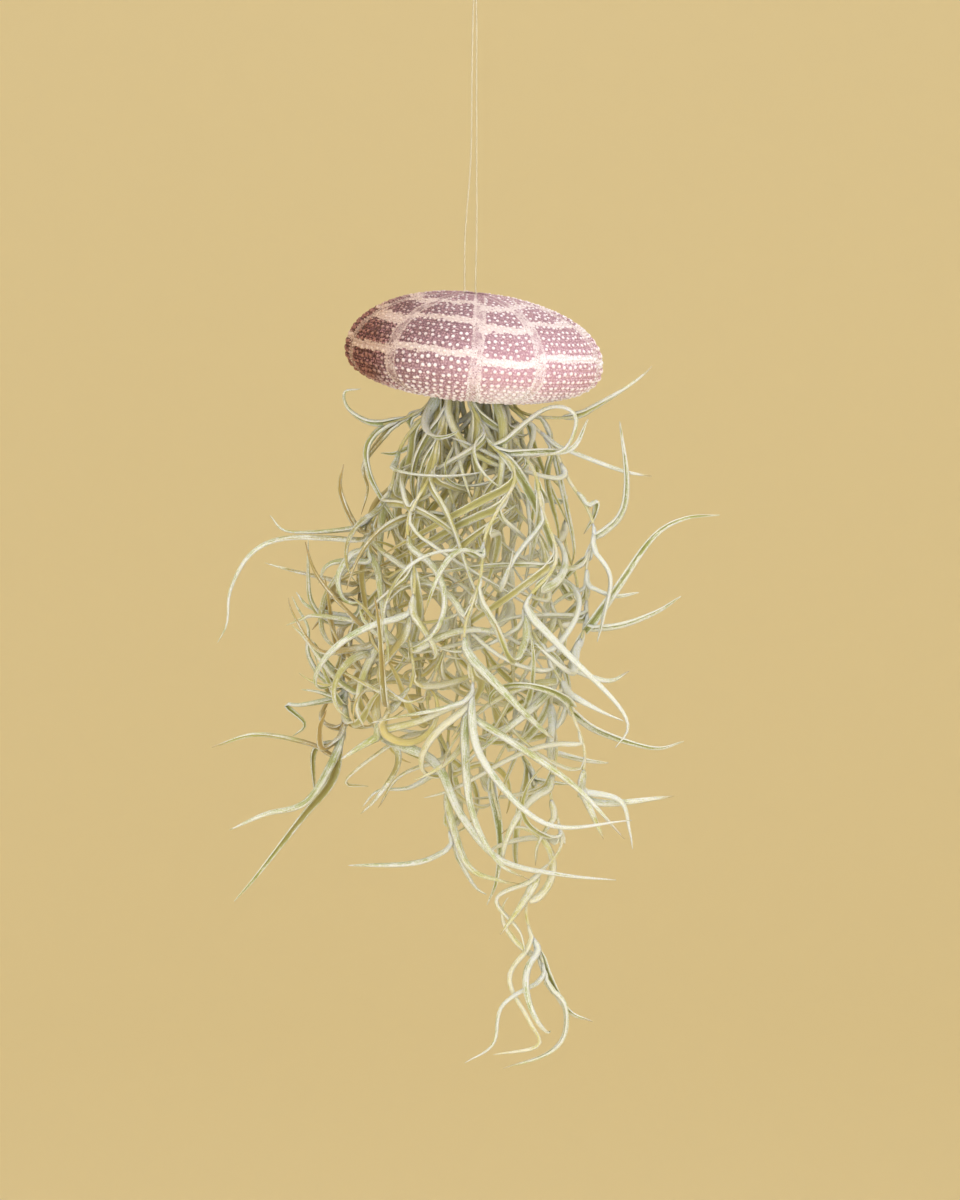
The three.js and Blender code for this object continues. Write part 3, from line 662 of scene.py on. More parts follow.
# each colour of the shell twice: darkened with painted shade, as on its shaded left, and paled with painted
# light, as on its lit right
shellShadedAndLitColours = {
    "ground": (shade(60, 30, 26), shade(188, 148, 166)),
    "plum": (shade(124, 74, 70), shade(212, 178, 200)),
    "pink": (shade(176, 120, 116), shade(236, 214, 230)),
    "rust": (shade(100, 62, 44), shade(202, 166, 168)),
    "hollow": (shade(172, 142, 128), shade(228, 216, 226)),
    "cream": (shade(200, 174, 156), shade(242, 242, 252)),
    "boss": (shade(152, 106, 92), shade(246, 240, 250)),
    "pore": (shade(76, 46, 42), shade(154, 120, 136)),
}

# how the pattern and the painted light and shade lie on the shell, in mm; an edge's pair says how far it
# fades out and in, and the others' where a change starts and where it is full
shellPattern = {
    "narrowBands": [(16.8, 0.6), (11.6, 1.15), (2.1, 1.25)],  # height and half width
    "wideBands": [(17.6, 0.4), (13.4, 0.7), (4.0, 1.1)],
    "bandEdge": (0.45, 0.35),
    "wander": 2.4,
    "raggedTurn": 1.6,
    "raggedHeight": 2.2,
    "sectorEdge": 0.6,
    # the span and wave of the painted light from left to right, and where painted shade darkens the top
    "paintedLightSpan": (-34.0, 24.0),
    "paintedLightWave": 14.0,
    "paintedShadeTop": (2.0, 15.0),
    "lowPale": (0.0, -8.0),
    "poreBandEdge": (0.5, 0.3),
    "poreBandTop": (19.4, 16.0),
    "railEdge": (0.75, 0.25),
}


def bandMask(height, bands):
    outer, inner = shellPattern["bandEdge"]
    masks = [(height - middle).absolute().between(half + outer, half - inner) for middle, half in bands]
    return masks[0].most(masks[1]).most(masks[2])


def shellLook():
    look = Look("urchin_shell", Specular_IOR_Level=0.35)
    location, turn, _ = shellMatrix().decompose()
    own = look.add("Mapping", {"vector_type": "TEXTURE"}, {
        "Vector": look.place(), "Location": location, "Rotation": turn.to_euler("XYZ"), "Scale": (mm,) * 3})
    x, y, z = look.axes(own)
    longitude = x.turnFrom(-y) / degree
    radius = (x * x + y * y).squareRoot()
    wobble = (look.noise(own, 0.14, 2.0) - 0.5) * shellPattern["wander"]
    ragged = look.noise(own, 0.95, 1.0) - 0.5
    grainy = look.noise(own, 1.9, 2.0)
    broad = look.noise(own, 0.12, 2.0)
    grain = look.attribute("grain").between(0.1, 0.7)
    boss = look.attribute("boss").between(0.1, 0.75)
    # painted light and shade: from left to right the shell's colours go from their painted-shade copies to
    # their painted-light ones, with more painted shade near its top and a little more painted light low on
    # the left
    wave = shellPattern["paintedLightWave"]
    side = (x + broad * wave - wave / 2).between(*shellPattern["paintedLightSpan"])
    side = side * (1.0 - z.between(*shellPattern["paintedShadeTop"]) * 0.5)
    lowLeft = z.between(7.0, -6.0) * x.between(-32.0, -18.0) * 0.2
    side = (side + lowLeft).least(1.0).power(0.55)
    tones = {name: look.mix(side, *pair) for name, pair in shellShadedAndLitColours.items()}
    tones["ground"] = look.mix(side.power(1.5), *shellShadedAndLitColours["ground"])
    # the tubercles' tips go faster from painted shade to painted light
    tones["boss"] = look.mix(side * 1.8 - 0.1, *shellShadedAndLitColours["boss"])
    # ten sectors, narrow and wide by turns, with a pore band between each two
    fifth, sector, half = shellForm["fifth"], shellForm["poreSector"], shellForm["poreHalfWidth"]
    share = longitude + wobble + ragged * shellPattern["raggedTurn"] - shellForm["poreBandStart"]
    share = share.wrapped(fifth)
    narrow = share.between(sector + shellPattern["sectorEdge"], sector - shellPattern["sectorEdge"])
    fromBand = share.least(fifth - share).least((share - sector).absolute()) * degree * radius
    outer, inner = shellPattern["poreBandEdge"]
    inBand = fromBand.between(half + outer, half - inner)
    rail = (fromBand - shellForm["poreRail"]).absolute().between(*shellPattern["railEdge"])
    height = z + wobble + ragged * shellPattern["raggedHeight"]
    bands = narrow * bandMask(height, shellPattern["narrowBands"])
    bands = bands + (1 - narrow) * bandMask(height, shellPattern["wideBands"])
    # blocks of plum and pink granules over a dark ground, with rust-brown patches everywhere and more of
    # them on the far left as painted shade
    tint = look.mix(grainy.between(0.36, 0.64), tones["plum"], tones["pink"])
    rustAndLeftShade = look.noise(own, 0.3, 2.0).between(0.44, 0.66) * (0.4 + x.between(-14.0, -32.0) * 0.5)
    tint = look.mix(rustAndLeftShade, tint, tones["rust"])
    mottled = look.noise(own, 1.3, 2.0).between(0.38, 0.6)
    block = look.mix(grain * (0.4 + grainy * 0.6) + mottled * 0.4, tones["ground"], tint)
    # pale bands, with a little colour left in their hollows
    pale = look.mix(grain * 0.55 + grainy.between(0.4, 0.62) * 0.5, tones["hollow"], tones["cream"])
    lowPale = (z + ragged * 3.0).between(*shellPattern["lowPale"])
    lowPale = lowPale * (x.between(-14.0, 16.0) * 0.42 + narrow * 0.16)
    fraying = (look.noise(own, 0.4, 3.0) - 0.5) * 1.6
    paleness = (bands * (0.9 + fraying) + lowPale + rail * (0.1 + grainy * 0.8)).between(0.25, 0.75)
    colour = look.mix(paleness, block, pale)
    # pore bands: fine granules among small dark pores, broken here and there
    dots = look.cells(own, 1.35).between(0.42, 0.2)
    net = look.mix(grain * 0.5 + grainy.between(0.42, 0.6) * 0.5, tones["hollow"], tones["cream"])
    net = look.mix(dots * (1 - grain * 0.7) * 0.9, net, tones["pore"])
    netBreaks = look.noise(own, 0.24, 1.0).between(0.34, 0.6)
    netShare = inBand * (0.25 + netBreaks * 0.45) * z.between(*shellPattern["poreBandTop"])
    colour = look.mix(netShare, colour, net)
    tip = look.mix(paleness, tones["boss"], tones["cream"])
    look.feed("Base Color", look.mix(boss * 0.85, colour, tip))
    look.feed("Roughness", 0.62 + grainy * 0.2)
    look.bump(look.cells(own, 2.6) * -1.0 + grainy * 0.5, 0.00012, 0.6)
    return look.material


shellMaterial = shellLook()
wallPiece = makeShellWall(shellMaterial)
bossPiece, grainPiece = makeShellRelief(shellMaterial)
standsFor(wallPiece, "shell", "urchin_shell")
standsFor(bossPiece, "shell")
standsFor(grainPiece, "shell")
print("shell made")


# The toggle: a short wooden stick under the top hole

toggleForm = {
    "radius": 1.05,
    "taper": 0.96,
    "length": 11.0,
    "sides": 28,
    "bevel": 0.22,
    "bevelSteps": 3,
}


def woodLook():
    look = Look("toggle_wood", Specular_IOR_Level=0.3)
    stretched = look.add("Mapping", None, {"Vector": look.place(), "Scale": (900.0, 60.0, 900.0)})
    grain = look.noise(stretched, 1.0, 4.0)
    look.feed("Base Color", look.mix(grain.between(0.3, 0.7), shade(168, 124, 74), shade(214, 178, 124)))
    look.feed("Roughness", 0.6 + grain * 0.25)
    look.bump(grain, 0.00005, 0.6)
    return look.material


def makeToggle():
    shape = bmesh.new()
    radius = toggleForm["radius"]
    bmesh.ops.create_cone(
        shape, cap_ends=True, segments=toggleForm["sides"], radius1=radius,
        radius2=radius * toggleForm["taper"], depth=toggleForm["length"])
    rims = [edge for edge in shape.edges if abs(edge.verts[0].co.z - edge.verts[1].co.z) < 1e-4]
    bmesh.ops.bevel(
        shape, geom=rims, offset=toggleForm["bevel"], segments=toggleForm["bevelSteps"], profile=0.5,
        affect="EDGES", material=-1)
    bmesh.ops.transform(shape, matrix=toggleMatrix(), verts=shape.verts)
    return linkPiece("toggle_stick", meshFrom(shape, "toggle_stick"), woodLook())


togglePiece = makeToggle()
standsFor(togglePiece, "toggle", "toggle")
print("toggle made")


# The moss: sixteen leafy stems that hook over the shell's mouth and trail

mossForm = {
    "centre": (-0.3, 1.4, -135.0),
    "stemRadius": 1.0,
    "stemTipRadius": 0.75,
    "stemStep": 2.0,
    "windTop": -22.0,
    "windEase": 20.0,
    "windReach": 1.8,
    "windLength": 34.0,
    "windOffset": 1.7,
    "leafSamples": 24,
    "nodeRoom": 5.0,
    "tangleTop": -17.0,
    "depthShare": 0.86,
    "innerFall": (1.15, 1.2),
    "rootSamples": 3,
    "freeReach": 24.0,
    "freeEvery": 3,
    "leafAngle": math.pi + 0.7,
    "straying": (0.6, 0.05),
    "backTurn": -0.6,
    "backShare": 0.3,
    "twist": 1.2,
    "searchRoom": 4.0,
    "neckLeaves": 4,
}

# height, middle and half width of the tangle as seen from the front, in mm from the moss's centre
tangle = np.array([
    (-12, 0, 13), (-20, 0, 17), (-30, 0, 24), (-45, -3, 30), (-64, -6, 41), (-89, -10, 46),
    (-114, -12, 43), (-132, -4, 32), (-148, 7, 20), (-163, 16, 11), (-222, 16, 10),
], dtype=float)


def stemOf(name, filling, fine, stem, drawn):
    # the stems that curl up beside the shell bear no filling and no neck leaves
    counts = {"filling": filling, "neck": mossForm["neckLeaves"] if filling else 0, "fine": fine}
    return {"name": name, "counts": counts, "stem": stem, "drawn": drawn, "grown": [], "nodes": []}


# each stem: its number of filling and of fine leaves, its points x, y, z, and the points x, z of its
# drawn leaves
strands = [
    stemOf("front", 12, 7, [
        (-1, -19, -9.4), (-1, -12, -9), (-1, -10, -15), (5, -17, -27), (11, -22, -35), (8, -30, -49),
        (1, -33, -64), (-1, -33, -83), (-2, -29, -101), (-2, -24, -112),
    ], [
        [(-2, -112), (-1, -138), (7, -155), (17, -161)], [(-2, -112), (11, -118), (31, -132), (46, -148)],
        [(-1, -106), (3, -124), (22, -143), (48, -142)], [(9, -28), (20, -30), (30, -29), (35, -20)],
        [(9, -28), (22, -17), (31, -19), (28, -29), (17, -32)],
    ]),
    stemOf("front_right", 12, 7, [
        (12, -15, -10.8), (8, -9, -9.7), (7, -8, -15), (14, -14, -30), (22, -20, -45), (23, -26, -64),
        (17, -27, -78), (22, -21, -95), (30, -16, -104), (32, -12, -120), (34, -8, -137),
    ], [
        [(17, -78), (28, -91), (43, -106), (47, -114), (43, -120)], [(30, -104), (39, -110), (46, -113)],
        [(34, -136), (45, -138), (48, -147), (49, -153)], [(34, -137), (42, -139), (62, -137)],
        [(34, -137), (40, -150)],
    ]),
    stemOf("right", 10, 9, [
        (19, -3, -11), (12, -2, -9.9), (10, -2, -15), (19, -2, -23), (28, -3, -34), (34, -4, -49),
        (36, -4, -60), (36, -4, -73), (32, -6, -86), (30, -6, -97),
    ], [
        [(36, -58), (45, -50), (47, -39), (45, -21)], [(34, -49), (38, -46), (37, -51), (34, -56)],
        [(32, -86), (43, -74), (55, -57), (65, -51), (76, -50)],
        [(32, -86), (45, -84), (56, -80), (64, -75)], [(30, -97), (41, -101), (48, -98)],
        [(36, -60), (42, -69), (40, -81), (38, -89)], [(34, -72), (43, -75), (51, -74)],
        [(24, -28), (45, -36), (55, -38)],
    ]),
    stemOf("back_right", 11, 4, [
        (15, 12, -9.6), (10, 8, -8.8), (8.5, 6.5, -15), (17, 12, -30), (27, 20, -45), (31, 26, -64),
        (30, 28, -83), (27, 22, -101), (24, 12, -124),
    ], [
        [(24, -124), (34, -127), (42, -128)], [(27, -110), (38, -118), (56, -124), (66, -122)],
    ]),
    stemOf("back", 11, 3, [
        (4, 19, -7.9), (3, 12, -7.6), (3, 10.5, -15), (7, 20, -30), (10, 30, -49), (8, 35, -70),
        (10, 33, -92), (11, 26, -111), (14, 18, -126), (18, 12, -135),
    ], [
        [(17, -134), (31, -135)], [(18, -135), (16, -142)],
    ]),
    stemOf("back_left", 11, 4, [
        (-6, 18, -7.2), (-5, 12, -6.9), (-5, 10, -15), (-9, 20, -30), (-14, 30, -49), (-15, 35, -70),
        (-17, 32, -92), (-15, 24, -114), (-9, 16, -131),
    ], [
        [(-10, -130), (-20, -136), (-30, -137), (-35, -142)],
    ]),
    stemOf("left_back", 5, 27, [
        (-17, 9, -6.7), (-11, 6, -6.8), (-10, 5, -15), (-18, 10, -30), (-28, 18, -45), (-34, 22, -64),
        (-38, 22, -83), (-40, 16, -101), (-42, 12, -111), (-41, 8, -127),
    ], [
        [(-41, -127), (-51, -122), (-68, -119), (-82, -123)],
        [(-41, -127), (-45, -134), (-54, -145), (-68, -163), (-75, -171)],
        [(-41, -126), (-52, -139), (-65, -143), (-76, -148)], [(-41, -122), (-50, -124), (-50, -138)],
        [(-42, -107), (-54, -110), (-59, -110), (-53, -116), (-57, -120)],
        [(-36, -73), (-46, -71), (-59, -68), (-66, -66)], [(-38, -83), (-51, -80), (-56, -75)],
        [(-42, -107), (-48, -101), (-52, -94), (-52, -86), (-55, -80), (-57, -76)],
        [(-42, -108), (-48, -106), (-54, -105)], [(-41, -125), (-47, -123), (-48, -117), (-46, -111)],
        [(-38, -85), (-46, -84), (-51, -78), (-52, -70), (-52, -58)],
        [(-38, -79), (-44, -77), (-48, -83), (-51, -87)],
        [(-41, -104), (-46, -106), (-43, -99), (-41, -92)],
    ]),
    stemOf("left", 4, 18, [
        (-20, -3, -7.4), (-13, -2, -7.8), (-12, -2, -15), (-20, -3, -25), (-25, -5, -36), (-30, -8, -49),
        (-31, -10, -58), (-29, -12, -73), (-27, -13, -86), (-32, -10, -98), (-37, -6, -106),
    ], [
        [(-31, -58), (-43, -57), (-59, -57), (-69, -62), (-75, -73), (-76, -83), (-79, -89)],
        [(-30, -52), (-38, -54), (-57, -55), (-63, -50)], [(-31, -57), (-37, -52), (-41, -42), (-40, -34)],
        [(-31, -59), (-38, -62), (-42, -69), (-40, -76), (-34, -77)],
        [(-28, -86), (-34, -84), (-43, -75), (-49, -67), (-52, -58)],
        [(-28, -84), (-48, -81), (-53, -82), (-58, -84)],
        [(-37, -104), (-43, -100), (-52, -88), (-56, -84)],
        [(-28, -88), (-34, -99), (-36, -109), (-34, -115)], [(-27, -86), (-19, -79), (-17, -74)],
        [(-28, -87), (-38, -91), (-46, -92), (-51, -88), (-56, -79), (-57, -75)],
        [(-30, -64), (-41, -64), (-46, -66), (-48, -71)],
    ]),
    stemOf("front_left", 11, 8, [
        (-13, -14, -8.6), (-8.5, -9, -8.4), (-8, -8, -15), (-12, -15, -30), (-17, -22, -45),
        (-20, -28, -64), (-18, -30, -83), (-21, -24, -101), (-28, -16, -116), (-24, -12, -121),
    ], [
        [(-28, -116), (-17, -113), (-3, -108), (7, -109)], [(-28, -116), (-35, -121), (-41, -125)],
        [(-24, -121), (-24, -128), (-30, -137), (-35, -142)],
        [(-24, -121), (-12, -126), (-4, -142), (8, -156), (27, -161), (44, -163)],
        [(-20, -84), (-29, -98), (-21, -106), (-14, -104)],
    ]),
    stemOf("tail", 10, 9, [
        (3, -12, -6.6), (1.5, -6, -6), (1, -4, -15), (5, -6, -30), (14, -8, -49), (23, -8, -67),
        (26, -6, -86), (26, -3, -104), (24, -2, -120), (24, -2, -132), (27, -2, -143), (26, -3, -152),
        (20, -4, -161), (18, -3, -171), (18, -2, -183), (22, -2, -196),
    ], [
        [(22, -196), (28, -202), (28, -212), (22, -218), (9, -222)],
        [(22, -196), (9, -202), (6, -214), (-3, -220)], [(20, -191), (29, -204), (37, -208)],
        [(18, -183), (11, -194), (17, -207), (20, -215), (6, -218)],
        [(19, -163), (7, -169), (14, -179), (16, -186)], [(18, -168), (11, -176), (8, -180)],
        [(24, -144), (20, -152), (19, -159)],
    ]),
    stemOf("middle_right", 9, 2, [
        (14, 1, -7.3), (6, 0.5, -6.1), (4.5, 0, -15), (8, 2, -30), (13, 4, -52), (10, 2, -76),
        (14, 0, -101), (8, 2, -126), (7, 0, -145),
    ], [
        [(7, -135), (8, -151), (7, -165), (4, -173)],
    ]),
    stemOf("middle_back", 8, 1, [
        (0, 13, -2.9), (0, 6, -2.9), (0, 4.5, -15), (-1, 9, -33), (-6, 12, -58), (-3, 14, -83),
        (-7, 10, -107), (-6, 8, -126),
    ], [
        [(-6, -126), (-23, -132), (-30, -142)],
    ]),
    stemOf("middle_left", 9, 3, [
        (-15, 4, -2.5), (-7, 3, -2.8), (-5.5, 2.5, -15), (-11, 4, -36), (-18, 2, -58), (-23, 4, -76),
        (-18, 4, -98), (-11, 0, -120), (-7, -4, -139), (-7, -4, -155),
    ], [
        [(-7, -139), (-2, -158), (8, -163), (14, -164)], [(-7, -154), (-18, -158), (-39, -159)],
        [(-7, -155), (0, -165), (4, -168)], [(-12, -118), (-23, -120), (-40, -133), (-33, -135)],
    ]),
    stemOf("middle_front", 9, 4, [
        (-5, -14, -3.9), (-5.5, -7, -3.9), (-5, -3.5, -15), (-6, -6, -33), (-7, -12, -55), (-9, -16, -76),
        (-11, -12, -95), (-14, -8, -114),
    ], [
        [(-6, -31), (-23, -52)],
    ]),
    stemOf("top_right", 0, 5, [
        (20, 4, -9.5), (15, 3, -8.4), (12, 2.5, -10.3), (11.7, 2.5, -13), (13.5, 2.5, -17.5),
        (19, 2, -19.5), (27, 0.5, -20), (32, -0.5, -19.5),
    ], [
        [(32, -19), (45, -12), (52, -7), (55, -4)], [(23, -18), (28, -45), (31, -60), (30, -67)],
    ]),
    stemOf("top_left", 0, 6, [
        (-21, 2, -7.3), (-16, 1.5, -6.5), (-13.4, 1, -8.6), (-12.8, 1, -13), (-15.5, 0, -17),
        (-20, -1, -19.5), (-24, -2, -21), (-28, -3, -22),
    ], [
        [(-26, -21), (-33, -21), (-39, -17), (-40, -12), (-35, -11)],
        [(-28, -22), (-33, -29), (-32, -38), (-26, -49), (-23, -53)],
        [(-26, -21), (-34, -34), (-33, -42), (-35, -50)], [(-20, -19), (-18, -27), (-24, -31), (-29, -31)],
    ]),
]

# leaves that keep their outline from the front, and lean and bow in depth by draws
drawnPlan = {
    "kind": "drawn", "seed": 0, "tries": 80, "ownGap": 0.25, "otherGap": 0.85, "halfWidth": (1.25, 0.0),
    "lean": (0.1, 0.75), "bow": 0.4,
}

# leaves that grow by rule, kind after kind: those that fill the tangle, broad ones that come down
# out of the shell's mouth, and finer ones; each pair is a least value and what may be added to it
grownPlans = [
    {
        "kind": "filling", "seed": 100, "tries": 120, "ownGap": 0.25, "otherGap": 0.85,
        "halfWidth": (1.25, 0.0), "place": (0.12, 0.88), "margin": 0.5, "length": (34.0, 24.0),
        "slant": (0.9, 1.5), "firstTurn": (0.8, 2.2), "lastTurn": (1.2, 3.4),
    },
    {
        "kind": "neck", "seed": 300, "tries": 70, "ownGap": -0.45, "otherGap": -0.45,
        "halfWidth": (1.4, 0.0), "place": (0.045, 0.085), "margin": 0.0, "length": (26.0, 20.0),
        "slant": (0.1, 0.6), "firstTurn": (0.2, 2.2), "lastTurn": (0.4, 3.0),
    },
    {
        "kind": "fine", "seed": 500, "tries": 110, "ownGap": 0.06, "otherGap": 0.06,
        "halfWidth": (0.8, 0.4), "place": (0.16, 0.84), "margin": 0.5, "length": (26.0, 30.0),
        "slant": (0.8, 1.6), "firstTurn": (0.6, 2.6), "lastTurn": (1.0, 3.6),
    },
]


def draws(seed):
    # numbers from 0 to 1 that are alike each time for one seed
    modulus, multiplier, seedStep, seedStart = 2147483647, 16807, 7919, 12345
    state = (seed * seedStep + seedStart) % modulus

    def drawOne():
        nonlocal state
        state = state * multiplier % modulus
        return state / modulus

    drawOne()
    drawOne()
    return drawOne


def alongRun(points, targets, along):
    return np.stack([np.interp(targets, along, column) for column in points.T], axis=1)


def smoothRun(corners, steps):
    # an even run of points along a smooth curve through the corners
    corners = np.array(corners, float)
    spans = len(corners) - 1
    padded = np.vstack([2 * corners[0] - corners[1], corners, 2 * corners[-1] - corners[-2]])
    fine = 16 * spans
    places = np.arange(fine + 1) / fine * spans
    span = np.minimum(places.astype(int), spans - 1)
    share = (places - span)[:, None]
    before, start, end, after = padded[span], padded[span + 1], padded[span + 2], padded[span + 3]
    leave, arrive = 0.5 * (end - before), 0.5 * (after - start)
    points = (
        start + leave * share
        + (3 * (end - start) - 2 * leave - arrive) * share ** 2
        + (2 * (start - end) + leave + arrive) * share ** 3
    )
    along = travelled(points)
    targets = along[-1] * np.arange(steps + 1) / steps
    return alongRun(points, targets, along)


def directions(points):
    ahead = np.vstack([points[1:], points[-1:]])
    behind = np.vstack([points[:1], points[:-1]])
    return unitRows(ahead - behind)


class Grown:
    # what has grown so far, as rows of x, y, z, radius and owner; a new leaf is tested against it
    def __init__(self):
        self.rows = np.empty((0, 5))

    def remember(self, points, radii, owner):
        rows = np.column_stack([points, radii, np.full(len(points), owner)])
        self.rows = np.vstack([self.rows, rows])

    def room(self, points, radii, owner, plan):
        # the least room along a leaf, less the gap it needs; below 0 it is in the way
        known, around = self.rows[:, :3], mossForm["searchRoom"]
        near = ((known > points.min(axis=0) - around) & (known < points.max(axis=0) + around)).all(axis=1)
        if not near.any():
            return math.inf
        known, knownRadii, own = known[near], self.rows[near, 3], self.rows[near, 4] == owner
        apart = np.linalg.norm(points[1:, None] - known[None], axis=2)
        room = apart - radii[1:, None] - knownRadii - np.where(own, plan["ownGap"], plan["otherGap"])
        byRoot = np.linalg.norm(points[1:] - points[0], axis=1) < mossForm["nodeRoom"]
        room[np.ix_(byRoot, own)] = math.inf
        return room.min()


grown = Grown()


def taper(halfWidth):
    share = np.arange(mossForm["leafSamples"] + 1) / mossForm["leafSamples"]
    return halfWidth * np.sqrt(1 - share)


def stemLine(strand):
    # the stem's points an even step apart, wound a little round its drawn course
    corners = np.array(strand["stem"], float)
    points = smoothRun(corners, int(travelled(corners)[-1] / mossForm["stemStep"] + 0.5))
    ease = np.clip((mossForm["windTop"] - points[:, 2]) / mossForm["windEase"], 0, 1)
    turn = np.arange(len(points)) * mossForm["stemStep"] * 2 * math.pi / mossForm["windLength"]
    turn += strand["number"] * mossForm["windOffset"]
    points[:, 0] += mossForm["windReach"] * ease * np.sin(turn)
    points[:, 1] += mossForm["windReach"] * ease * np.cos(turn)
    return points


def freeNode(strand, distances):
    # the nearest node of the stem that bears no leaf yet; the first may bear several
    distances = distances.copy()
    distances[[node for node in strand["nodes"] if node > 0]] = math.inf
    strand["nodes"].append(int(np.argmin(distances)))
    return strand["nodes"][-1]


def drawsFor(strand, order, plan):
    # a leaf's own draws, once from 0 to 1 and once from -1 to 1
    draw = draws(1000 * (strand["number"] + 1) + plan["seed"] + order)
    return draw, lambda: draw() * 2 - 1


def keepLeaf(strand, node, points, half, plan):
    grown.remember(points[1:], taper(half)[1:], strand["number"])
    strand["grown"].append({"points": points, "node": node, "half": half, "kind": plan["kind"]})


def addDrawnLeaf(strand, order, plan):
    # of all tries, the first with room enough is kept, or else the one with the most
    _, drawSigned = drawsFor(strand, order, plan)
    line, outline, half = strand["line"], strand["drawn"][order], plan["halfWidth"][0]
    start = outline[0]
    node = freeNode(strand, np.hypot(line[:, 0] - start[0], line[:, 2] - start[1]))
    root = line[node]
    samples = mossForm["leafSamples"]
    flat = smoothRun([root] + [(x, root[1], z) for x, z in outline[1:]], samples)
    length = travelled(flat)[-1]
    share = np.arange(samples + 1) / samples
    best, bestRoom = None, -math.inf
    for attempt in range(plan["tries"]):
        if bestRoom >= 0:
            break
        spread = plan["lean"][0] + plan["lean"][1] * attempt / plan["tries"]
        lean = drawSigned() * spread * length
        bow = drawSigned() * spread * length * plan["bow"]
        points = flat.copy()
        points[:, 1] += lean * share + bow * 4 * share * (1 - share)
        room = grown.room(points, taper(half), strand["number"], plan)
        if room > bestRoom:
            best, bestRoom = points, room
    keepLeaf(strand, node, best, half, plan)


def growRuns(root, headings, axes, lengths, firstTurns, lastTurns, twists):
    # many tries of a leaf at once, each turning a little at every step
    samples = mossForm["leafSamples"]
    runs = [np.repeat(root[None], len(headings), axis=0)]
    heading, axis = headings, axes
    for step in range(samples):
        share = (step + 0.5) / samples
        turns = (firstTurns * (1 - share) + lastTurns * share) / samples
        heading = unitRows(turnRows(heading, axis, turns))
        axis = unitRows(turnRows(axis, heading, twists / samples))
        runs.append(runs[-1] + heading * (lengths / samples)[:, None])
    return np.stack(runs, axis=1)


def fromMiddle(run, reach=0.0):
    # how far points are from the tangle's middle; 1 is on its outline, pushed out in depth by the reach
    middle, half = (np.interp(-run[:, 2], -tangle[:, 0], column) for column in tangle.T[1:])
    return np.hypot((run[:, 0] - middle) / half, run[:, 1] / (mossForm["depthShare"] * half + reach))


def addGrownLeaf(strand, order, plan):
    # leaves its node at a slant, curls, and is drawn anew until it has room
    draw, drawSigned = drawsFor(strand, order, plan)

    def within(name):
        least, more = plan[name]
        return least + more * draw()

    line, count, margin = strand["line"], strand["counts"][plan["kind"]], plan["margin"]
    start, span = plan["place"]
    place = start + span * (order + margin) / (count - 1 + 2 * margin)
    wanted = int(place * (len(line) - 1) + 0.5)
    node = freeNode(strand, np.linalg.norm(line - line[wanted], axis=1))
    thin, more = plan["halfWidth"]
    half = thin + more * (order * 7 % 10) / 9  # widths differ from leaf to leaf
    tries = []
    for attempt in range(plan["tries"]):
        straying = mossForm["straying"][0] + attempt * mossForm["straying"][1]
        around = order * mossForm["leafAngle"] + drawSigned() * straying
        slant, lean = within("slant"), drawSigned() * math.pi
        length, firstTurn = within("length"), within("firstTurn")
        turnsBack = draw() < mossForm["backShare"]
        lastTurn = mossForm["backTurn"] * firstTurn if turnsBack else within("lastTurn")
        tries.append((around, slant, lean, length, firstTurn, lastTurn, drawSigned() * mossForm["twist"]))
    around, slant, lean, *shape = np.array(tries).T
    stems = np.repeat(directions(line)[node][None], len(tries), axis=0)
    outward = turnRows(unitRows(np.cross([1.0, 0.0, 0.0], stems)), stems, around)
    headings = stems * np.cos(slant)[:, None] + outward * np.sin(slant)[:, None]
    axes = turnRows(np.cross(stems, outward), headings, lean)
    reach = 0 if order % mossForm["freeEvery"] else mossForm["freeReach"]
    for run in growRuns(line[node], headings, axes, *shape):
        free = run[mossForm["rootSamples"]:]
        inside = (free[:, 2] < mossForm["tangleTop"]).all() and (fromMiddle(free, reach) < 1).all()
        if inside and grown.room(run, taper(half), strand["number"], plan) >= 0:
            keepLeaf(strand, node, run, half, plan)
            return


def growMoss():
    for number, strand in enumerate(strands):
        strand["number"] = number
        strand["line"] = stemLine(strand)
        grown.remember(strand["line"], np.full(len(strand["line"]), mossForm["stemRadius"]), number)
    for strand in strands:
        for order in range(len(strand["drawn"])):
            addDrawnLeaf(strand, order, drawnPlan)
    for plan in grownPlans:
        for strand in strands:
            for order in range(strand["counts"][plan["kind"]]):
                addGrownLeaf(strand, order, plan)
    print("leaves:", sum(len(strand["grown"]) for strand in strands))


# a blade's section, with its groove and edges, goes once round from its left edge: a channel over
# a rounded keel
bladeForm = {
    "rings": 30,
    "section": [(-1.0, 0.4), (-0.9, -0.08), (-0.5, -0.5), (0.5, -0.5), (0.9, -0.08), (1.0, 0.4),
                (0.62, 0.15), (0.0, -0.2), (-0.62, 0.15)],
    "groove": [0.0, 0.0, 0.0, 0.0, 0.0, 0.0, 0.55, 1.0, 0.55],
    "edge": [1.0, 0.35, 0.0, 0.0, 0.35, 1.0, 0.3, 0.0, 0.3],
    "fullness": 1.38,
    "taper": 0.54,
    "leastHalf": 0.12,
    "closing": 0.2,
    "turn": 1.3,
    "turnStart": 0.15,
    "clasp": 5.0,
    "claspBack": [1.0, 0.62, 0.25],
    "claspOut": [0.147, 0.336, 0.42],
    "claspHalf": 0.3,
    "ownFrom": 2,
    "claspShare": 0.12,
    "claspEase": 0.6,
    "tipStart": 0.86,
    "tipTone": 0.6,
    "tipDry": 0.8,
    "dryShare": 0.045,
    "drySlim": 0.5,
    "dry": 0.85,
    "seed": 7,
}

stemForm = {
    "sides": 8,
    "share": 0.6,
    "sideStep": 0.2,
    # the stems' traits darken them to olive-brown as painted shade, and give them half the painted bounce
    # light of the tangle's middle
    "traits": {"above": 0.0, "groove": 0.35, "edge": 0.0, "tone": 0.35, "dry": 0.15, "inner": 0.5},
}


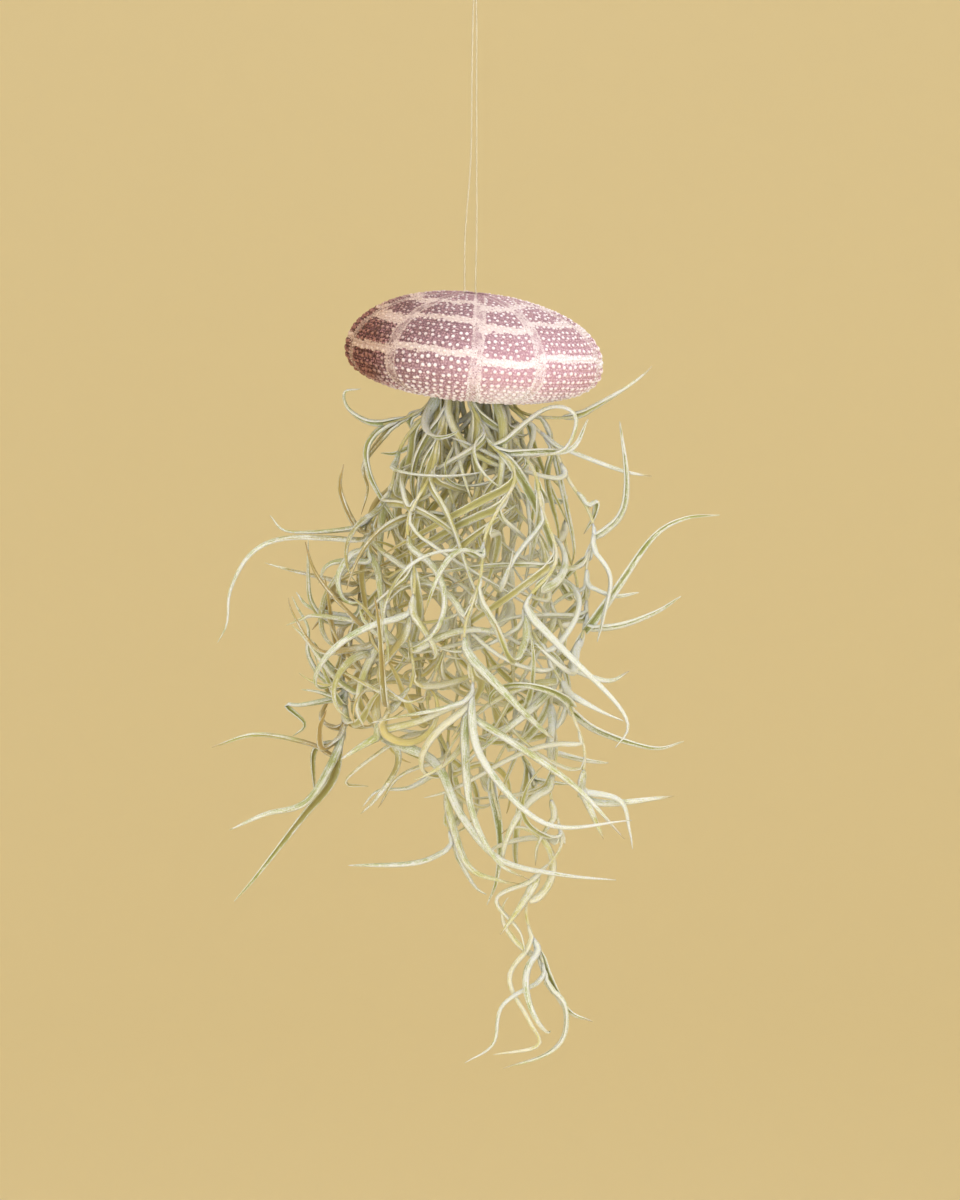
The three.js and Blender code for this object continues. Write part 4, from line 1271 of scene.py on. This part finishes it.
def tubeTemplate(sides, rings, name):
    # a closed tube, ringed along its length, whose points know their ring and side
    shape = bmesh.new()
    bmesh.ops.create_cone(shape, cap_ends=True, segments=sides, radius1=1.0, radius2=1.0, depth=2.0)
    upright = [edge for edge in shape.edges if abs(edge.verts[0].co.z - edge.verts[1].co.z) > 1.0]
    bmesh.ops.subdivide_edges(shape, edges=upright, cuts=rings - 2)
    mesh = meshFrom(shape, name)
    points = pointsOf(mesh)
    ring = np.rint((points[:, 2] + 1) / 2 * (rings - 1)).astype(int)
    angle = np.arctan2(points[:, 1], points[:, 0])
    side = np.rint(angle / (2 * math.pi) * sides).astype(int) % sides
    return mesh, ring, side


def squareTo(direction, vector):
    # what of a vector is square to a direction, one long
    vector = vector - direction * np.dot(vector, direction)
    return vector / max(np.linalg.norm(vector), 1e-9)


def carriedUps(line, up):
    # the upright of each point of a run, carried along it without turning
    ups = []
    for direction in directions(line):
        up = squareTo(direction, up)
        ups.append(up)
    return np.array(ups)


def bladeLine(leaf, line):
    # the blade clasps the stem for a little way before it leaves it
    node = leaf["node"]
    outward = squareTo(directions(line)[node], directions(leaf["points"])[1])
    back = bladeForm["clasp"] / mossForm["stemStep"]
    clasp = alongRun(line, node - back * np.array(bladeForm["claspBack"]), np.arange(len(line)))
    clasp += outward * np.array(bladeForm["claspOut"])[:, None]
    if node < back:
        clasp = clasp[-1:]
    own = leaf["points"][bladeForm["ownFrom"]:]
    return smoothRun(np.vstack([clasp, own]), bladeForm["rings"] - 1), -outward


def bladePoints(leaf, line, tone, slim):
    run, up = bladeLine(leaf, line)
    heading = directions(run)
    share = np.arange(len(run)) / (len(run) - 1)
    turns = (tone * 2 - 1) * bladeForm["turn"] * np.maximum(share - bladeForm["turnStart"], 0)
    ups = turnRows(carriedUps(run, up), heading, turns)
    sides = np.cross(heading, ups)
    half = leaf["half"] * bladeForm["fullness"] * slim * (1 - share) ** bladeForm["taper"]
    opened = np.clip(share / bladeForm["claspShare"], 0, 1) ** bladeForm["claspEase"]
    half = half * (bladeForm["claspHalf"] + (1 - bladeForm["claspHalf"]) * opened)
    half = np.maximum(half, bladeForm["leastHalf"])
    curl = 1 + bladeForm["closing"] * share  # the channel closes towards the tip
    section = np.array(bladeForm["section"])
    across = section[:, 0] * (half / curl ** 0.5)[:, None]
    above = section[:, 1] * (half * curl)[:, None]
    grid = run[:, None] + sides[:, None] * across[..., None] + ups[:, None] * above[..., None]
    return grid, across, above, travelled(run)[-1]


def stemPoints(line, sides):
    ups = carriedUps(line, np.array([0.0, 1.0, 0.0]))
    beside = np.cross(directions(line), ups)
    share = np.arange(len(line)) / (len(line) - 1)
    radius = mossForm["stemRadius"] + (mossForm["stemTipRadius"] - mossForm["stemRadius"]) * share
    radius = radius * stemForm["share"]
    angles = np.arange(sides) / sides * 2 * math.pi
    ring = beside[:, None] * np.cos(angles)[None, :, None] + ups[:, None] * np.sin(angles)[None, :, None]
    return line[:, None] + ring * radius[:, None, None]


def innerShare(run):
    # 1 for a leaf in the tangle's middle, 0 for one near its outline; it sets how much painted bounce light
    # the leaf gets
    start, fall = mossForm["innerFall"]
    return float(np.clip(start - fromMiddle(run).mean() * fall, 0, 1))


leafTraits = ("along", "across", "above", "groove", "edge", "tone", "dry", "inner")


def partsMesh(name, parts):
    # joins runs of template copies into one mesh, with what the leaf material reads
    shape = bmesh.new()
    points, traits = [], {trait: [] for trait in leafTraits}
    for (template, ring, side), grid, values in parts:
        shape.from_mesh(template)
        points.append(grid[ring, side])
        for trait in traits:
            value = np.broadcast_to(values[trait], grid.shape[:2])
            traits[trait].append(value[ring, side])
    mesh = meshFrom(shape, name)
    movePoints(mesh, (np.concatenate(points) + np.array(mossForm["centre"])) * mm)
    for trait, values in traits.items():
        addAttribute(mesh, trait, np.concatenate(values))
    return mesh


def stemPart(line, template):
    sides = stemForm["sides"]
    along = (np.arange(len(line)) * mossForm["stemStep"])[:, None]
    across = np.arange(sides)[None] * stemForm["sideStep"]
    return template, stemPoints(line, sides), {"along": along, "across": across, **stemForm["traits"]}


def leafPart(leaf, line, template, random):
    tone = float(random.random())
    dry = random.random() < bladeForm["dryShare"] and leaf["kind"] == "fine"
    grid, across, above, length = bladePoints(leaf, line, tone, bladeForm["drySlim"] if dry else 1.0)
    share = (np.arange(bladeForm["rings"]) / (bladeForm["rings"] - 1))[:, None]
    tip = np.clip((share - bladeForm["tipStart"]) / (1 - bladeForm["tipStart"]), 0, 1)
    tip = tip * bladeForm["tipDry"] * (tone > bladeForm["tipTone"])
    return template, grid, {
        "along": share * length, "across": across, "above": above,
        "groove": np.array(bladeForm["groove"])[None], "edge": np.array(bladeForm["edge"])[None],
        "tone": tone, "dry": np.maximum(tip, bladeForm["dry"] * dry), "inner": innerShare(leaf["points"]),
    }


def makeMoss(material):
    blade = tubeTemplate(len(bladeForm["section"]), bladeForm["rings"], "blade")
    random = np.random.default_rng(bladeForm["seed"])
    for strand in strands:
        line = strand["line"]
        stem = tubeTemplate(stemForm["sides"], len(line), "stem")
        parts = [stemPart(line, stem)] + [leafPart(leaf, line, blade, random) for leaf in strand["grown"]]
        name = "moss_" + strand["name"]
        piece = linkPiece(name, partsMesh(name, parts), material)
        standsFor(piece, "moss", "strand_" + strand["name"])
        bpy.data.meshes.remove(stem[0])
    bpy.data.meshes.remove(blade[0])


mossColours = {
    "scurf": shade(211, 215, 221),
    "silver": shade(203, 208, 197),
    "green": shade(150, 164, 108),
    "yellow": shade(178, 180, 128),
    "olive": shade(116, 112, 54),
    "brown": shade(146, 112, 70),
    # the painted warm glow of light bounced and passed through leaves in the tangle's middle
    "inner": shade(226, 212, 150),
}


def mossLook():
    look = Look(
        "moss_leaf", Specular_IOR_Level=0.25, Sheen_Weight=0.3, Sheen_Roughness=0.45,
        Sheen_Tint=shade(236, 238, 230), Subsurface_Weight=0.45, Subsurface_Scale=0.002,
        Subsurface_Radius=(1.0, 0.95, 0.5))
    along, across, above, groove, edge, tone, dry, inner = (look.attribute(trait) for trait in leafTraits)
    place = look.place()
    streakPlace = look.vector(across * 3.4 + tone * 61.0, above * 3.4, along * 0.2)
    streaks = look.noise(streakPlace, 1.0, 4.0, 0.65)
    scales = look.noise(place, 2100.0, 2.0, 0.7)
    patches = look.noise(place, 120.0, 2.0)
    # green leaves, olive in their grooves partly as painted shade, and with painted shade, browner, on the
    # left but for the far tips
    sideways = look.axes(place)[0] + (patches - 0.5) * 0.04
    # painted shade on the tangle's left side and painted light on its right
    paintedShadeLeft = sideways.between(0.0, -0.045) * sideways.between(-0.072, -0.054)
    paintedLightRight = sideways.between(0.0, 0.04)
    leafy = look.mix(tone.between(0.45, 1.0), mossColours["green"], mossColours["yellow"])
    # partly the leaf's greener channel, partly painted shade where shade falls in the groove
    leafy = look.mix(groove.between(0.4, 1.0) * 0.6, leafy, mossColours["olive"])
    leafy = look.mix(streaks.between(0.5, 0.28) * 0.6, leafy, mossColours["olive"])
    leafy = look.mix(paintedShadeLeft * tone.between(0.0, 0.7) * 0.65, leafy, mossColours["brown"])
    # a coat of silver scurf, worn in streaks, thinner in grooves partly as painted shade, thinner on the
    # left as painted shade and thicker on the right as painted light
    coat = 0.6 + (streaks - 0.5) * 2.6 + (scales - 0.5) * 1.1 + edge * 0.7 - groove * 0.75
    coat = coat + (patches - 0.5) * 1.6 - (tone - 0.5) * 0.7 - paintedShadeLeft * 0.45 + paintedLightRight * 0.25
    coat = coat.between(0.05, 0.95)
    silver = look.mix(scales.between(0.3, 0.7), mossColours["silver"], mossColours["scurf"])
    colour = look.mix(coat * 0.94, leafy, silver)
    # painted light inside the tangle, a warm glow standing in for light bounced and passed through the
    # leaves, and brown where a leaf or its tip is dry
    colour = look.mix(inner * (0.8 - coat * 0.4), colour, mossColours["inner"])
    colour = look.mix(dry * (0.6 + streaks * 0.6), colour, mossColours["brown"])
    look.feed("Base Color", colour)
    look.feed("Roughness", 0.7 + coat * 0.22)
    look.bump(scales * 0.7 + streaks * 1.2, 0.00015, 0.8)
    return look.material


growMoss()
makeMoss(mossLook())
print("moss made:", len(strands), "strands")


meshes = [piece.data for piece in bpy.data.objects if piece.type == "MESH"]
print("faces in the scene:", sum(len(mesh.polygons) for mesh in meshes))
